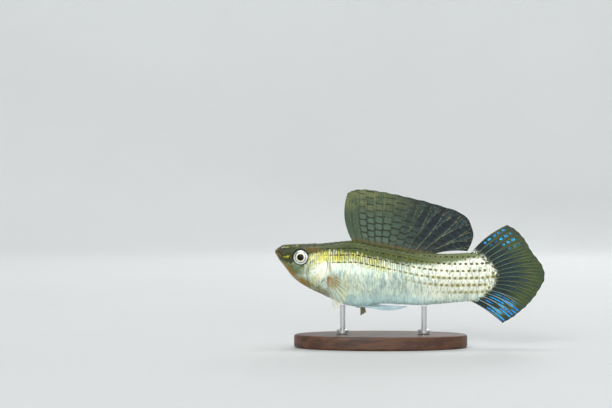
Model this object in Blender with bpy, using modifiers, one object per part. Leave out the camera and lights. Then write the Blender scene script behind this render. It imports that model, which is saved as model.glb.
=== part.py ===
"""A male sailfin molly, life size, as a still display model on a stand with two rods.

The fish swims level, its head towards -X and its left side towards -Y, with the sail and the tail
fin spread. Every sub-part is its own closed solid, and solids that meet keep a gap of GAP.
"""

import math

import bmesh
import bpy
import numpy as np

# Sizes are in millimetres, and MM turns them into Blender's metres.
MM = 0.001

# Fish space: x runs back from the snout tip, y to the fish's right, z up from the stalk's middle.
MIDDLE_X = 40.54
TAIL_TIP_X = 80.87
AXIS_HEIGHT = 21.0
GAP = 0.3

# The body's outline and section along x. WIDEST is the height of the widest level as a share of the
# depth. Section powers: 2 is an ellipse, more is boxier, less is sharper.
BACK = [(0.5, 8.0), (1.5, 9.0), (2.9, 9.75), (7.5, 10.0), (13.5, 10.15), (19.5, 10.75), (23.7, 11.1),
        (30.0, 10.0), (37.5, 8.6), (45.0, 7.45), (51.0, 7.15), (59.1, 7.5), (66.0, 8.2)]
BELLY = [(0.5, 7.1), (1.5, 5.4), (3.0, 3.5), (6.0, -0.2), (9.0, -2.4), (16.5, -6.1), (21.0, -8.1),
         (25.8, -8.9), (33.0, -7.9), (43.5, -8.35), (49.5, -8.0), (59.1, -7.2), (66.0, -7.9)]
HALF_WIDTH = [(0.5, 0.9), (1.5, 2.0), (3.3, 2.9), (7.5, 4.2), (12.0, 4.8), (16.5, 5.2), (22.0, 5.3),
              (30.0, 4.9), (37.5, 4.2), (45.0, 3.3), (52.5, 2.4), (59.0, 1.5), (62.4, 1.0), (66.0, 0.6)]
WIDEST = [(0.5, 0.55), (5.0, 0.64), (12.0, 0.6), (25.0, 0.5), (66.0, 0.5)]
UPPER_POWER = [(0.5, 2.2), (7.5, 2.7), (16.0, 2.2), (24.0, 1.85), (45.0, 2.0), (66.0, 2.0)]
LOWER_POWER = [(0.5, 2.2), (7.5, 1.75), (18.0, 1.9), (26.0, 2.2), (45.0, 2.0), (66.0, 2.0)]

# The tail swings a little towards the fish's left, from SWAY_START to the end of the tail fin.
SWAY_START = 30.0
SWAY = 1.8

# Where the body starts and is parted. The gill cover's edge is set back above and below its rearmost level.
SNOUT = 0.5
GILL_EDGE = 15.9
GILL_LEVEL = 0.1
GILL_SET_BACK_ABOVE = 2.6
GILL_SET_BACK_BELOW = 4.2
GILL_FLARE = 0.3
GILL_FLARE_LENGTH = 3.5
GILL_GAP = 0.4
TRUNK_END = 49.5
STALK_CORNER = 59.1
STALK_BULGE = 6.6

# Mesh counts of the body. HEAD_EASE above 1 sets the head's rings closer at the snout.
ROUND_STEPS = 36
HEAD_STEPS = 20
HEAD_EASE = 1.35
TRUNK_STEPS = 15
STALK_STEPS = 8

# The head's features. The eyes are flat ellipsoids whose poles face sideways.
EYE_X = 8.0
EYE_Z = 6.15
EYE_RADIUS = 2.3
EYE_DEPTH = 0.9
EYE_PROUD = 0.5
EYE_SEGMENTS = 22
EYE_RINGS = 12
NOSTRIL_PLACES = [(3.7, 8.9), (4.8, 8.2)]
NOSTRIL_RADIUS = 0.26
NOSTRIL_SEGMENTS = 8
NOSTRIL_RINGS = 6

# The mouth's line falls from MOUTH_FRONT to MOUTH_CORNER, and the jaw's rear edge on to the chin.
MOUTH_FRONT = (0.95, 8.35)
MOUTH_CORNER = (2.9, 6.4)
CHIN_END = (4.3, 1.6)
JAW_REGION_REACH = [(-2.05, 11.5), (3.0, -3.0), (-5.05, 3.0)]
UPPER_LIP_RADIUS = 0.3
LOWER_LIP_RADIUS = 0.4
LIP_OVERLAP = 0.15
LIP_INSET = 0.12
LIP_TAPER = 0.4
LIP_STEPS = 7

# The gill covers: flaps behind a curved front edge, GILL_COVER_THICKNESS thick over the head's core.
GILL_COVER_FRONT = [(11.2, 5.0), (10.3, 3.4), (9.8, 1.0), (10.1, -1.2), (11.2, -3.4), (12.6, -6.5)]
GILL_COVER_THICKNESS = 1.1
GILL_FRONT_STEPS = 4
GILL_REGION_END = 19.0
GILL_CORE = (8.0, 20.0)
GILL_CORE_STEPS = 10
THROAT_HALF_WIDTH = 0.7
REGION_HALF_WIDTH = 8.0

# The fins. A web is the skin between rays, and a ridge is what a ray adds to it on each face. The
# web has its full thinness from WEB_SPAN[0] to WEB_SPAN[1] of a ray's length.
WEB_HALF = 0.25
WEB_SPAN = (0.22, 0.7)
TIP_HALF = 0.14
ROOT_HALF = 0.45
RIDGE = 0.2
RIDGE_TAPER = 0.65
RAY_HALF_WIDTH = 0.22
RAY_SHARE_LIMIT = 0.36
WEB_NOTCH = 0.025
RAY_SIDE_NOTCH = 0.0075
WAVE_POWER = 1.5

SAIL_RAYS = 14
SAIL_BASE = (23.4, 48.3)
SAIL_BASE_POWER = 1.1
SAIL_TIP_POWER = 1.5
SAIL_MARGIN = [(22.2, 25.5), (24.6, 26.3), (30.0, 26.2), (42.0, 23.7), (54.0, 20.3), (58.2, 17.6),
               (59.8, 13.6), (59.4, 10.4), (58.0, 7.85)]
SAIL_FRONT_BULGE = 3.3
SAIL_FRONT_BULGE_POWER = 9
SAIL_REAR_BULGE = 0.9
SAIL_WAVE = 0.5
SAIL_WAVE_TURNS = (0.21, 0.6)
SAIL_STEPS = 6

TAIL_RAYS = 18
TAIL_HUB = (56.1, 0.3)
TAIL_MARGIN = [(-48.5, 18.6), (-32.0, 20.4), (-14.0, 22.9), (1.0, 24.85), (22.0, 22.1), (38.0, 21.6),
               (48.5, 20.6)]
TAIL_ROOT_ANGLES = (-27.0, 52.0)
TAIL_STEPS = 6
TAIL_WAVE = 0.5
TAIL_WAVE_TURNS = (5.0, 0.8)

PECTORAL_RAYS = 8
PECTORAL_ROOT = (16.7, -0.6)
PECTORAL_ROOT_HEIGHT = 1.9
PECTORAL_ROOT_LEAN = 0.3
PECTORAL_ROOT_PROUD = 0.45
PECTORAL_ANGLES = (-22.0, -80.0)
PECTORAL_REACH = (5.0, 7.9)
PECTORAL_REACH_BULGE = 0.9
PECTORAL_SPREAD = (4.6, 2.2)
PECTORAL_BEND = (0.3, 0.25)
PECTORAL_ROOT_HALF = 0.32
PECTORAL_RIDGE = 0.13
PECTORAL_STEPS = 4

PELVIC_RAYS = 5
PELVIC_ROOT_SIDE = 1.5
PELVIC_ROOT_DROP = 0.5
PELVIC_BEND = 0.1
PELVIC_ROOT_HALF = 0.36
PELVIC_RIDGE = 0.12
PELVIC_STEPS = 4
PELVIC_SWEPT = {"root": (25.2, 26.7), "angles": (-2.0, -8.6), "reach": (6.0, 7.2), "spread": (0.9, 0.9)}
PELVIC_SPLAYED = {"root": (26.0, 27.2), "angles": (-74.0, -88.0), "reach": (2.4, 3.0), "spread": (4.4, 2.4)}

GONOPODIUM_RAYS = 4
GONOPODIUM_ROOT = (28.2, 31.4)
GONOPODIUM_TIP = (40.0, -8.65)
GONOPODIUM_TIP_LENGTH = 0.3
GONOPODIUM_TIP_HEIGHT = 0.35
GONOPODIUM_BENDS = (0.23, 2.13)
GONOPODIUM_ROOT_HALF = 0.5
GONOPODIUM_RIDGE = 0.14
GONOPODIUM_STEPS = 6

# The stand: an oval base with two rods up to the belly.
BASE_CENTRE_X = 32.0
BASE_HALF_LENGTH = 26.0
BASE_HALF_WIDTH = 12.0
BASE_THICKNESS = 4.0
BASE_BEVEL = 0.7
BASE_SIDES = 48
ROD_PLACES = {"stand_rod_front": 20.6, "stand_rod_rear": 45.0}
ROD_RADIUS = 0.8
ROD_COLLAR_RADIUS = 1.8
ROD_COLLAR_HEIGHT = 1.2
ROD_COLLAR_EDGE = 0.25
ROD_SIDES = 20

LEFT, RIGHT = -1.0, 1.0

# Each part's colour, roughness and metallic value.
LOOKS = {
    "head": ((0.16, 0.20, 0.12), 0.35, 0.1),
    "lower_jaw": ((0.36, 0.33, 0.20), 0.35, 0.1),
    "gill_cover_left": ((0.72, 0.76, 0.50), 0.3, 0.4),
    "gill_cover_right": ((0.72, 0.76, 0.50), 0.3, 0.4),
    "trunk": ((0.56, 0.66, 0.45), 0.32, 0.4),
    "tail_stalk": ((0.66, 0.75, 0.59), 0.32, 0.4),
    "eye_left": ((0.85, 0.86, 0.82), 0.15, 0.4),
    "eye_right": ((0.85, 0.86, 0.82), 0.15, 0.4),
    "dorsal_fin": ((0.08, 0.13, 0.08), 0.45, 0.0),
    "caudal_fin": ((0.04, 0.09, 0.06), 0.45, 0.0),
    "pectoral_fin_left": ((0.60, 0.62, 0.40), 0.45, 0.0),
    "pectoral_fin_right": ((0.60, 0.62, 0.40), 0.45, 0.0),
    "pelvic_fin_left": ((0.45, 0.58, 0.62), 0.45, 0.0),
    "pelvic_fin_right": ((0.38, 0.33, 0.18), 0.45, 0.0),
    "gonopodium": ((0.45, 0.58, 0.62), 0.45, 0.0),
    "stand_base": ((0.13, 0.075, 0.045), 0.4, 0.0),
    "stand_rod_front": ((0.60, 0.61, 0.62), 0.3, 1.0),
    "stand_rod_rear": ((0.60, 0.61, 0.62), 0.3, 1.0),
}
SMOOTH_ANGLE = 40.0


def curve_through(points):
    """A smooth function through the (x, value) points that doesn't pass their highs and lows."""
    xs, values = np.array(points, float).T
    steps = np.diff(xs)
    slopes = np.diff(values) / steps
    before, after = slopes[:-1], slopes[1:]
    same_way = before * after > 0
    inner = np.where(same_way, 2 * before * after / np.where(same_way, before + after, 1.0), 0.0)
    tangents = np.concatenate([slopes[:1], inner, slopes[-1:]])

    def value(x):
        i = int(np.clip(np.searchsorted(xs, x) - 1, 0, len(steps) - 1))
        t = min(max((x - xs[i]) / steps[i], 0.0), 1.0)
        rise, step = values[i + 1] - values[i], steps[i]
        start, end = tangents[i] * step, tangents[i + 1] * step
        return float(values[i] + start * t + (3 * rise - 2 * start - end) * t**2
                     + (start + end - 2 * rise) * t**3)

    return value


back_at = curve_through(BACK)
belly_at = curve_through(BELLY)
half_width_at = curve_through(HALF_WIDTH)
widest_at = curve_through(WIDEST)
upper_power_at = curve_through(UPPER_POWER)
lower_power_at = curve_through(LOWER_POWER)


def sway_at(x):
    """How far the body's middle plane lies towards the fish's left at x."""
    past = max(0.0, x - SWAY_START) / (TAIL_TIP_X - SWAY_START)
    return -SWAY * past**2


def swayed(points):
    """Points moved sideways with the swing of the tail."""
    moved = np.array(points, float)
    moved[:, 1] += [sway_at(x) for x in moved[:, 0]]
    return moved


def skin_point(x, turn, swell=0.0):
    """A point of the body's surface, or one raised by swell. turn goes round the section from the back."""
    top, bottom = back_at(x), belly_at(x)
    level = bottom + (top - bottom) * widest_at(x)
    c, s = math.cos(turn), math.sin(turn)
    power = upper_power_at(x) if c >= 0 else lower_power_at(x)
    reach = (top - level if c >= 0 else level - bottom) + swell
    width = half_width_at(x) + swell
    y = -math.copysign(abs(s) ** (2 / power) * width, s)
    return x, y, level + math.copysign(abs(c) ** (2 / power) * reach, c)


def side_at(x, z):
    """Half the body's width at x and height z."""
    top, bottom = back_at(x), belly_at(x)
    level = bottom + (top - bottom) * widest_at(x)
    power = upper_power_at(x) if z >= level else lower_power_at(x)
    reach = top - level if z >= level else level - bottom
    share = min(abs(z - level) / reach, 1.0)
    return half_width_at(x) * (1 - share**power) ** (1 / power)


def gill_edge(turn):
    """x of the gill cover's edge, which is also where the head meets the trunk."""
    height = math.cos(turn)
    if height > GILL_LEVEL:
        return GILL_EDGE - GILL_SET_BACK_ABOVE * ((height - GILL_LEVEL) / (1 - GILL_LEVEL)) ** 2
    return GILL_EDGE - GILL_SET_BACK_BELOW * ((GILL_LEVEL - height) / (1 + GILL_LEVEL)) ** 2


def stalk_end(turn):
    """x of the tail stalk's end, a bulge between its upper and lower corners."""
    return STALK_CORNER + STALK_BULGE * math.sin(turn) ** 2


def finish_node(obj):
    """Gives a part its own material, and smooth shading with sharp edges kept."""
    colour, roughness, metallic = LOOKS[obj.name]
    made = bpy.data.materials.new(obj.name + "_finish")
    made.use_nodes = True
    shader = made.node_tree.nodes["Principled BSDF"]
    shader.inputs["Base Color"].default_value = (*colour, 1.0)
    shader.inputs["Roughness"].default_value = roughness
    shader.inputs["Metallic"].default_value = metallic
    obj.data.materials.clear()
    obj.data.materials.append(made)
    obj.data.shade_smooth()
    obj.data.set_sharp_from_angle(angle=math.radians(SMOOTH_ANGLE))


def add_object(name, collection, parent, points, faces, origin=(0.0, 0.0, 0.0)):
    """A mesh object from points in millimetres, with its origin at a point of the same space."""
    mesh = bpy.data.meshes.new(name)
    local = (np.array(points, float) - np.array(origin, float)) * MM
    mesh.from_pydata(local.tolist(), [], [list(map(int, face)) for face in faces])
    shape = bmesh.new()
    shape.from_mesh(mesh)
    bmesh.ops.recalc_face_normals(shape, faces=shape.faces)
    shape.to_mesh(mesh)
    shape.free()
    obj = bpy.data.objects.new(name, mesh)
    collection.objects.link(obj)
    obj.parent = parent
    obj.location = [value * MM for value in origin]
    return obj


def evaluated_mesh(obj):
    """The object's mesh with its modifiers applied, welded where a curve's caps meet its sides."""
    graph = bpy.context.evaluated_depsgraph_get()
    mesh = bpy.data.meshes.new_from_object(obj.evaluated_get(graph))
    shape = bmesh.new()
    shape.from_mesh(mesh)
    bmesh.ops.remove_doubles(shape, verts=shape.verts, dist=1e-7)
    shape.to_mesh(mesh)
    shape.free()
    return mesh


def keep_largest(mesh):
    """Removes every closed surface of the mesh but the one with the most faces."""
    shape = bmesh.new()
    shape.from_mesh(mesh)
    left, islands = set(shape.verts), []
    while left:
        stack, island = [left.pop()], []
        while stack:
            vert = stack.pop()
            island.append(vert)
            near = {edge.other_vert(vert) for edge in vert.link_edges} & left
            left -= near
            stack.extend(near)
        islands.append(island)
    islands.sort(key=len)
    for island in islands[:-1]:
        bmesh.ops.delete(shape, geom=island, context="VERTS")
    shape.to_mesh(mesh)
    shape.free()


def boolean(obj, operation, others):
    """Joins or cuts obj with the other objects, applies the result and removes the others."""
    tools = bpy.data.collections.new("tools")
    bpy.context.scene.collection.children.link(tools)
    for other in others:
        for home in list(other.users_collection):
            home.objects.unlink(other)
        tools.objects.link(other)
    modifier = obj.modifiers.new("shape", "BOOLEAN")
    modifier.operation = operation
    modifier.operand_type = "COLLECTION"
    modifier.collection = tools
    modifier.solver = "EXACT"
    bpy.context.view_layer.update()
    mesh = evaluated_mesh(obj)
    obj.modifiers.clear()
    keep_largest(mesh)
    obj.data = mesh
    for other in others:
        bpy.data.objects.remove(other)
    bpy.data.collections.remove(tools)
    return obj


def loft_faces(rings, sides):
    """The faces of a closed loft: bands between the rings, and strips across its two end rings."""
    faces = []
    for k in range(rings - 1):
        for j in range(sides):
            a, b = k * sides + j, k * sides + (j + 1) % sides
            faces.append((a, b, b + sides, a + sides))
    for start in (0, (rings - 1) * sides):
        for j in range(sides // 2):
            near, far = (sides - j) % sides, sides - j - 1
            face = list(dict.fromkeys((j, j + 1, far, near)))
            faces.append([start + v for v in face])
    return faces


def body_length(name, collection, parent, front, rear, steps, swell=lambda x, turn: 0.0, ease=1.0):
    """A length of the body between two edges, each a function of the turn round the section."""
    turns = [2 * math.pi * j / ROUND_STEPS for j in range(ROUND_STEPS)]
    points = []
    for k in range(steps + 1):
        share = (k / steps) ** ease
        for turn in turns:
            x = front(turn) + (rear(turn) - front(turn)) * share
            points.append(skin_point(x, turn, swell(x, turn)))
    middle = (front(0.0) + rear(0.0)) / 2
    return add_object(name, collection, parent, swayed(points), loft_faces(steps + 1, ROUND_STEPS),
                      (middle, 0.0, 0.0))


def gill_swell(x, turn):
    """How far the head's sides lift towards the gill covers' rear edge."""
    near_edge = max(0.0, 1 - (gill_edge(turn) - x) / GILL_FLARE_LENGTH)
    return GILL_FLARE * near_edge**2 * abs(math.sin(turn))


def mesh_object(name, collection, guide):
    """A mesh object in place of a curve object."""
    bpy.context.view_layer.update()
    obj = bpy.data.objects.new(name, evaluated_mesh(guide))
    obj.matrix_world = guide.matrix_world
    bpy.data.objects.remove(guide)
    collection.objects.link(obj)
    return obj


def curve_object(name, collection, parent, dimensions, points, radii, closed):
    """A curve object through points in metres, of straight lengths."""
    curve = bpy.data.curves.new(name, "CURVE")
    curve.dimensions = dimensions
    spline = curve.splines.new("POLY")
    spline.points.add(len(points) - 1)
    spline.use_cyclic_u = closed
    for target, point, radius in zip(spline.points, points, radii):
        target.co = (*point, 1.0)
        target.radius = radius
    obj = bpy.data.objects.new(name, curve)
    collection.objects.link(obj)
    obj.parent = parent
    return obj


def lip(name, collection, parent, radius, above):
    """A tube round the mouth where its line meets the skin, thinner towards the corners."""
    (front_x, front_z), (corner_x, corner_z) = MOUTH_FRONT, MOUTH_CORNER
    along_mouth = np.array((corner_x - front_x, corner_z - front_z))
    across = np.array((-along_mouth[1], along_mouth[0])) / np.linalg.norm(along_mouth)
    lift = across * ((1 - LIP_OVERLAP) * radius + GAP / 2) * (1 if above else -1)
    points, radii = [], []
    for k in range(-LIP_STEPS, LIP_STEPS + 1):
        share = (k / LIP_STEPS) ** 2
        x, z = front_x + along_mouth[0] * share, front_z + along_mouth[1] * share
        y = math.copysign(max(side_at(x, z) - LIP_INSET, 0.0), k)
        points.append(((x + lift[0]) * MM, y * MM, (z + lift[1]) * MM))
        radii.append(1.0 - LIP_TAPER * share)
    guide = curve_object(name, collection, parent, "3D", points, radii, False)
    guide.data.bevel_depth = radius * MM
    guide.data.bevel_resolution = 2
    guide.data.use_fill_caps = True
    return mesh_object(name + "_tube", collection, guide)


def slab(name, collection, parent, outline, near, far, shift=(0.0, 0.0)):
    """A closed flat piece with an outline in x and z, from y = near to y = far."""
    points = [((x + shift[0]) * MM, (z + shift[1]) * MM, 0.0) for x, z in outline]
    guide = curve_object(name, collection, parent, "2D", points, [1.0] * len(points), True)
    guide.data.fill_mode = "BOTH"
    guide.data.extrude = abs(far - near) / 2 * MM
    guide.rotation_euler.x = math.pi / 2
    guide.location.y = (near + far) / 2 * MM
    return mesh_object(name + "_piece", collection, guide)


def ellipsoid(name, collection, parent, centre, radii, segments, rings):
    """A closed ellipsoid of the given radii along x, y and z, its poles on the y axis."""
    shape = bmesh.new()
    bmesh.ops.create_uvsphere(shape, u_segments=segments, v_segments=rings, radius=1.0)
    for vert in shape.verts:
        x, y, z = vert.co
        vert.co = (x * radii[0] * MM, z * radii[1] * MM, -y * radii[2] * MM)
    mesh = bpy.data.meshes.new(name)
    shape.to_mesh(mesh)
    shape.free()
    obj = bpy.data.objects.new(name, mesh)
    collection.objects.link(obj)
    obj.parent = parent
    obj.location = [value * MM for value in centre]
    return obj


def eye_ball(name, side, grow, collection, parent):
    """An eye, or the socket it lies in when it is grown by the gap."""
    centre = (EYE_X, side * (side_at(EYE_X, EYE_Z) + EYE_PROUD - EYE_DEPTH), EYE_Z)
    radii = (EYE_RADIUS + grow, EYE_DEPTH + grow, EYE_RADIUS + grow)
    return ellipsoid(name, collection, parent, centre, radii, EYE_SEGMENTS, EYE_RINGS)


def head_cutters(collection, parent):
    """The eye sockets and the nostrils."""
    cutters = []
    for side in (LEFT, RIGHT):
        cutters.append(eye_ball("socket", side, GAP, collection, parent))
        for x, z in NOSTRIL_PLACES:
            cutters.append(ellipsoid("nostril", collection, parent, (x, side * side_at(x, z), z),
                                     [NOSTRIL_RADIUS] * 3, NOSTRIL_SEGMENTS, NOSTRIL_RINGS))
    return cutters


def whole_head(name, collection, parent):
    """The head from the snout to the gill covers' edge, before it is parted."""
    return body_length(name, collection, parent, lambda turn: SNOUT,
                       lambda turn: gill_edge(turn) - GILL_GAP / 2, HEAD_STEPS, gill_swell, HEAD_EASE)


def jaw_region(collection, parent, shift):
    """The space of the lower jaw, below the mouth's line and ahead of the chin's end."""
    above, below, ahead = JAW_REGION_REACH
    outline = [above, MOUTH_CORNER, CHIN_END, below, ahead]
    return slab("jaw_region", collection, parent, outline, -REGION_HALF_WIDTH, REGION_HALF_WIDTH, shift)


def gill_cover_region(collection, parent, side, grow):
    """The space of a gill cover, or of the recess it lies in when it is grown by the gap."""
    highest, lowest = GILL_COVER_FRONT[0][1], GILL_COVER_FRONT[-1][1]
    outline = list(rounded(GILL_COVER_FRONT, GILL_FRONT_STEPS))
    outline += [(GILL_REGION_END, lowest), (GILL_REGION_END, highest)]
    inner, outer = side * (THROAT_HALF_WIDTH - grow), side * REGION_HALF_WIDTH
    region = slab("gill_region", collection, parent, outline, inner, outer, (-grow, grow))
    sunk = GILL_COVER_THICKNESS + grow
    core = body_length("gill_core", collection, parent, lambda turn: GILL_CORE[0],
                       lambda turn: GILL_CORE[1], GILL_CORE_STEPS, lambda x, turn: -sunk)
    return boolean(region, "DIFFERENCE", [core])


def make_head(collection, parent):
    """The head, the lower jaw and the gill covers, parted by thin cuts, and the eyes."""
    jaw = whole_head("lower_jaw", collection, parent)
    boolean(jaw, "UNION", [lip("lower_lip", collection, parent, LOWER_LIP_RADIUS, False)])
    boolean(jaw, "INTERSECT", [jaw_region(collection, parent, (-GAP / 2, -GAP))])
    finish_node(jaw)
    for name, side in (("gill_cover_left", LEFT), ("gill_cover_right", RIGHT)):
        cover = whole_head(name, collection, parent)
        boolean(cover, "INTERSECT", [gill_cover_region(collection, parent, side, 0.0)])
        finish_node(cover)
    head = whole_head("head", collection, parent)
    boolean(head, "UNION", [lip("upper_lip", collection, parent, UPPER_LIP_RADIUS, True)])
    boolean(head, "DIFFERENCE", [jaw_region(collection, parent, (0.0, 0.0))])
    recesses = [gill_cover_region(collection, parent, side, GAP) for side in (LEFT, RIGHT)]
    boolean(head, "DIFFERENCE", head_cutters(collection, parent) + recesses)
    finish_node(head)
    for name, side in (("eye_left", LEFT), ("eye_right", RIGHT)):
        finish_node(eye_ball(name, side, 0.0, collection, parent))


def make_body(collection, parent):
    """The trunk and the tail stalk."""
    trunk = body_length("trunk", collection, parent, lambda turn: gill_edge(turn) + GILL_GAP / 2,
                        lambda turn: TRUNK_END - GAP / 2, TRUNK_STEPS)
    stalk = body_length("tail_stalk", collection, parent, lambda turn: TRUNK_END + GAP / 2,
                        stalk_end, STALK_STEPS)
    finish_node(trunk)
    finish_node(stalk)


def bent_ray(root, tip, bend, steps):
    """Points from root to tip along a curve whose middle is bent aside by half of bend."""
    root, tip = np.array(root, float), np.array(tip, float)
    guide = (root + tip) / 2 + np.array(bend, float)
    shares = np.linspace(0.0, 1.0, steps + 1)[:, None]
    return (1 - shares) ** 2 * root + 2 * shares * (1 - shares) * guide + shares**2 * tip


def along(points, shares):
    """Points at shares of the length of a polyline."""
    points = np.array(points, float)
    lengths = np.concatenate([[0.0], np.cumsum(np.linalg.norm(np.diff(points, axis=0), axis=1))])
    return np.stack([np.interp(np.array(shares) * lengths[-1], lengths, column)
                     for column in points.T], axis=1)


def rounded(points, per_span=8):
    """A polyline that runs smoothly through a few points."""
    points = np.array(points, float)
    ends = np.concatenate([[2 * points[0] - points[1]], points, [2 * points[-1] - points[-2]]])
    found = []
    for a, b, c, d in zip(ends, ends[1:], ends[2:], ends[3:]):
        for t in np.linspace(0.0, 1.0, per_span, endpoint=False):
            found.append(0.5 * (2 * b + (c - a) * t + (2 * a - 5 * b + 4 * c - d) * t**2
                                + (3 * b - a - 3 * c + d) * t**3))
    return np.array(found + [points[-1]])


def beside_ray(rays, i, toward):
    """The line along one side of ray i, RAY_HALF_WIDTH towards the next ray."""
    inside = 0 <= i + toward < len(rays)
    step = rays[i + toward] - rays[i] if inside else rays[i] - rays[i - toward]
    distance = np.linalg.norm(step, axis=1, keepdims=True)
    return rays[i] + step * np.minimum(RAY_HALF_WIDTH / distance, RAY_SHARE_LIMIT)


def fin_columns(rays):
    """The columns of a fin: (points from root to tip, share of the ridge, reach of the tip)."""
    columns = []
    for i in range(len(rays)):
        columns.append((beside_ray(rays, i, -1), 0.0, 1 - RAY_SIDE_NOTCH))
        columns.append((rays[i], 1.0, 1.0))
        columns.append((beside_ray(rays, i, 1), 0.0, 1 - RAY_SIDE_NOTCH))
        if i < len(rays) - 1:
            columns.append(((rays[i] + rays[i + 1]) / 2, 0.0, 1 - WEB_NOTCH))
    return columns


def ribbed_fin(name, collection, parent, rays, normal, root_half=ROOT_HALF, ridge=RIDGE):
    """A closed fin with each ray a ridge on both faces. rays holds each ray's points, root to tip.

    Both faces have the same triangles, so that they can't cross where the fin curves.
    """
    rays = np.array(rays, float)
    rows = rays.shape[1]
    normal = np.array(normal, float) / np.linalg.norm(normal)
    shares = np.linspace(0.0, 1.0, rows)
    web = np.interp(shares, [0.0, *WEB_SPAN, 1.0], [root_half, WEB_HALF, WEB_HALF, TIP_HALF])
    columns = fin_columns(rays)
    near, far = [], []
    for line, share, reach in columns:
        line = np.stack([np.interp(shares * reach, shares, column) for column in line.T], axis=1)
        half = web + share * ridge * (1 - RIDGE_TAPER * shares)
        near.append(line - half[:, None] * normal)
        far.append(line + half[:, None] * normal)
    points = np.concatenate([np.concatenate(near), np.concatenate(far)])
    last, other = len(columns) - 1, len(columns) * rows
    faces = []
    for c in range(last):
        for r in range(rows - 1):
            a, b, d, e = c * rows + r, (c + 1) * rows + r, c * rows + r + 1, (c + 1) * rows + r + 1
            faces += [(a, b, e), (a, e, d), (a + other, e + other, b + other),
                      (a + other, d + other, e + other)]
    rim = [c * rows for c in range(last + 1)] + [last * rows + r for r in range(1, rows)]
    rim += [c * rows + rows - 1 for c in range(last - 1, -1, -1)] + [r for r in range(rows - 2, 0, -1)]
    for a, b in zip(rim, rim[1:] + rim[:1]):
        faces += [(a, a + other, b + other), (a, b + other, b)]
    origin = swayed([rays[:, 0].mean(axis=0)])[0]
    finish_node(add_object(name, collection, parent, swayed(points), faces, origin))


def make_sail(collection, parent):
    """The tall fin along the back, with its rays fanned from upright to nearly level."""
    shares = np.linspace(0.0, 1.0, SAIL_RAYS)
    tips = along(rounded(SAIL_MARGIN), shares**SAIL_TIP_POWER)
    start, end = SAIL_BASE
    rays = []
    for share, (tip_x, tip_z) in zip(shares, tips):
        x = start + (end - start) * share**SAIL_BASE_POWER
        root = (x, 0.0, back_at(x) + GAP)
        bend = (-SAIL_FRONT_BULGE * (1 - share) ** SAIL_FRONT_BULGE_POWER, 0.0, SAIL_REAR_BULGE * share**2)
        ray = bent_ray(root, (tip_x, 0.0, tip_z), bend, SAIL_STEPS)
        up = np.linspace(0.0, 1.0, SAIL_STEPS + 1)
        turns = (ray[:, 0] - start) * SAIL_WAVE_TURNS[0] + SAIL_WAVE_TURNS[1]
        ray[:, 1] += SAIL_WAVE * up**WAVE_POWER * np.sin(turns)
        rays.append(ray)
    ribbed_fin("dorsal_fin", collection, parent, rays, (0, 1, 0))


def make_tail_fin(collection, parent):
    """The tail fin, a fan round the end of the tail stalk."""
    reach_at = curve_through(TAIL_MARGIN)
    top, bottom = back_at(STALK_CORNER), belly_at(STALK_CORNER)
    lowest, highest = TAIL_MARGIN[0][0], TAIL_MARGIN[-1][0]
    rays = []
    for share in np.linspace(0.0, 1.0, TAIL_RAYS):
        turn = math.acos(2 * share - 1)
        root = (stalk_end(turn) + GAP, 0.0, (top + bottom) / 2 + (top - bottom) / 2 * (2 * share - 1))
        angle = math.radians(lowest + (highest - lowest) * share)
        reach = reach_at(math.degrees(angle))
        tip = (TAIL_HUB[0] + reach * math.cos(angle), 0.0, TAIL_HUB[1] + reach * math.sin(angle))
        leave = math.radians(TAIL_ROOT_ANGLES[0] + (TAIL_ROOT_ANGLES[1] - TAIL_ROOT_ANGLES[0]) * share)
        half = math.dist(root, tip) / 2
        guide = (root[0] + half * math.cos(leave), 0.0, root[2] + half * math.sin(leave))
        bend = [g - (a + b) / 2 for g, a, b in zip(guide, root, tip)]
        ray = bent_ray(root, tip, bend, TAIL_STEPS)
        out = np.linspace(0.0, 1.0, TAIL_STEPS + 1)
        ray[:, 1] += TAIL_WAVE * out**WAVE_POWER * math.sin(TAIL_WAVE_TURNS[0] * share + TAIL_WAVE_TURNS[1])
        rays.append(ray)
    ribbed_fin("caudal_fin", collection, parent, rays, (0, 1, 0))


def make_pectoral(name, side, collection, parent):
    """The fan behind a gill cover, spread back, down and away from the body."""
    rays = []
    for share in np.linspace(0.0, 1.0, PECTORAL_RAYS):
        x = PECTORAL_ROOT[0] - PECTORAL_ROOT_LEAN * share
        z = PECTORAL_ROOT[1] - PECTORAL_ROOT_HEIGHT * (share - 0.5)
        root = np.array((x, side * (side_at(x, z) + PECTORAL_ROOT_PROUD), z))
        angle = math.radians(np.interp(share, [0, 1], PECTORAL_ANGLES))
        reach = np.interp(share, [0, 1], PECTORAL_REACH) + PECTORAL_REACH_BULGE * math.sin(math.pi * share)
        spread = np.interp(share, [0, 1], PECTORAL_SPREAD)
        tip = root + (reach * math.cos(angle), side * spread, reach * math.sin(angle))
        rays.append(bent_ray(root, tip, (0.0, side * PECTORAL_BEND[0], PECTORAL_BEND[1]), PECTORAL_STEPS))
    rays = np.array(rays)
    normal = np.cross(rays[0, -1] - rays[0, 0], rays[-1, -1] - rays[-1, 0])
    ribbed_fin(name, collection, parent, rays, normal, PECTORAL_ROOT_HALF, PECTORAL_RIDGE)


def lower_skin(x, y):
    """Height of the belly's surface at x and half-width y."""
    top, bottom = back_at(x), belly_at(x)
    level = bottom + (top - bottom) * widest_at(x)
    power = lower_power_at(x)
    share = min(abs(y) / half_width_at(x), 1.0)
    return level - (level - bottom) * (1 - share**power) ** (1 / power)


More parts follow.
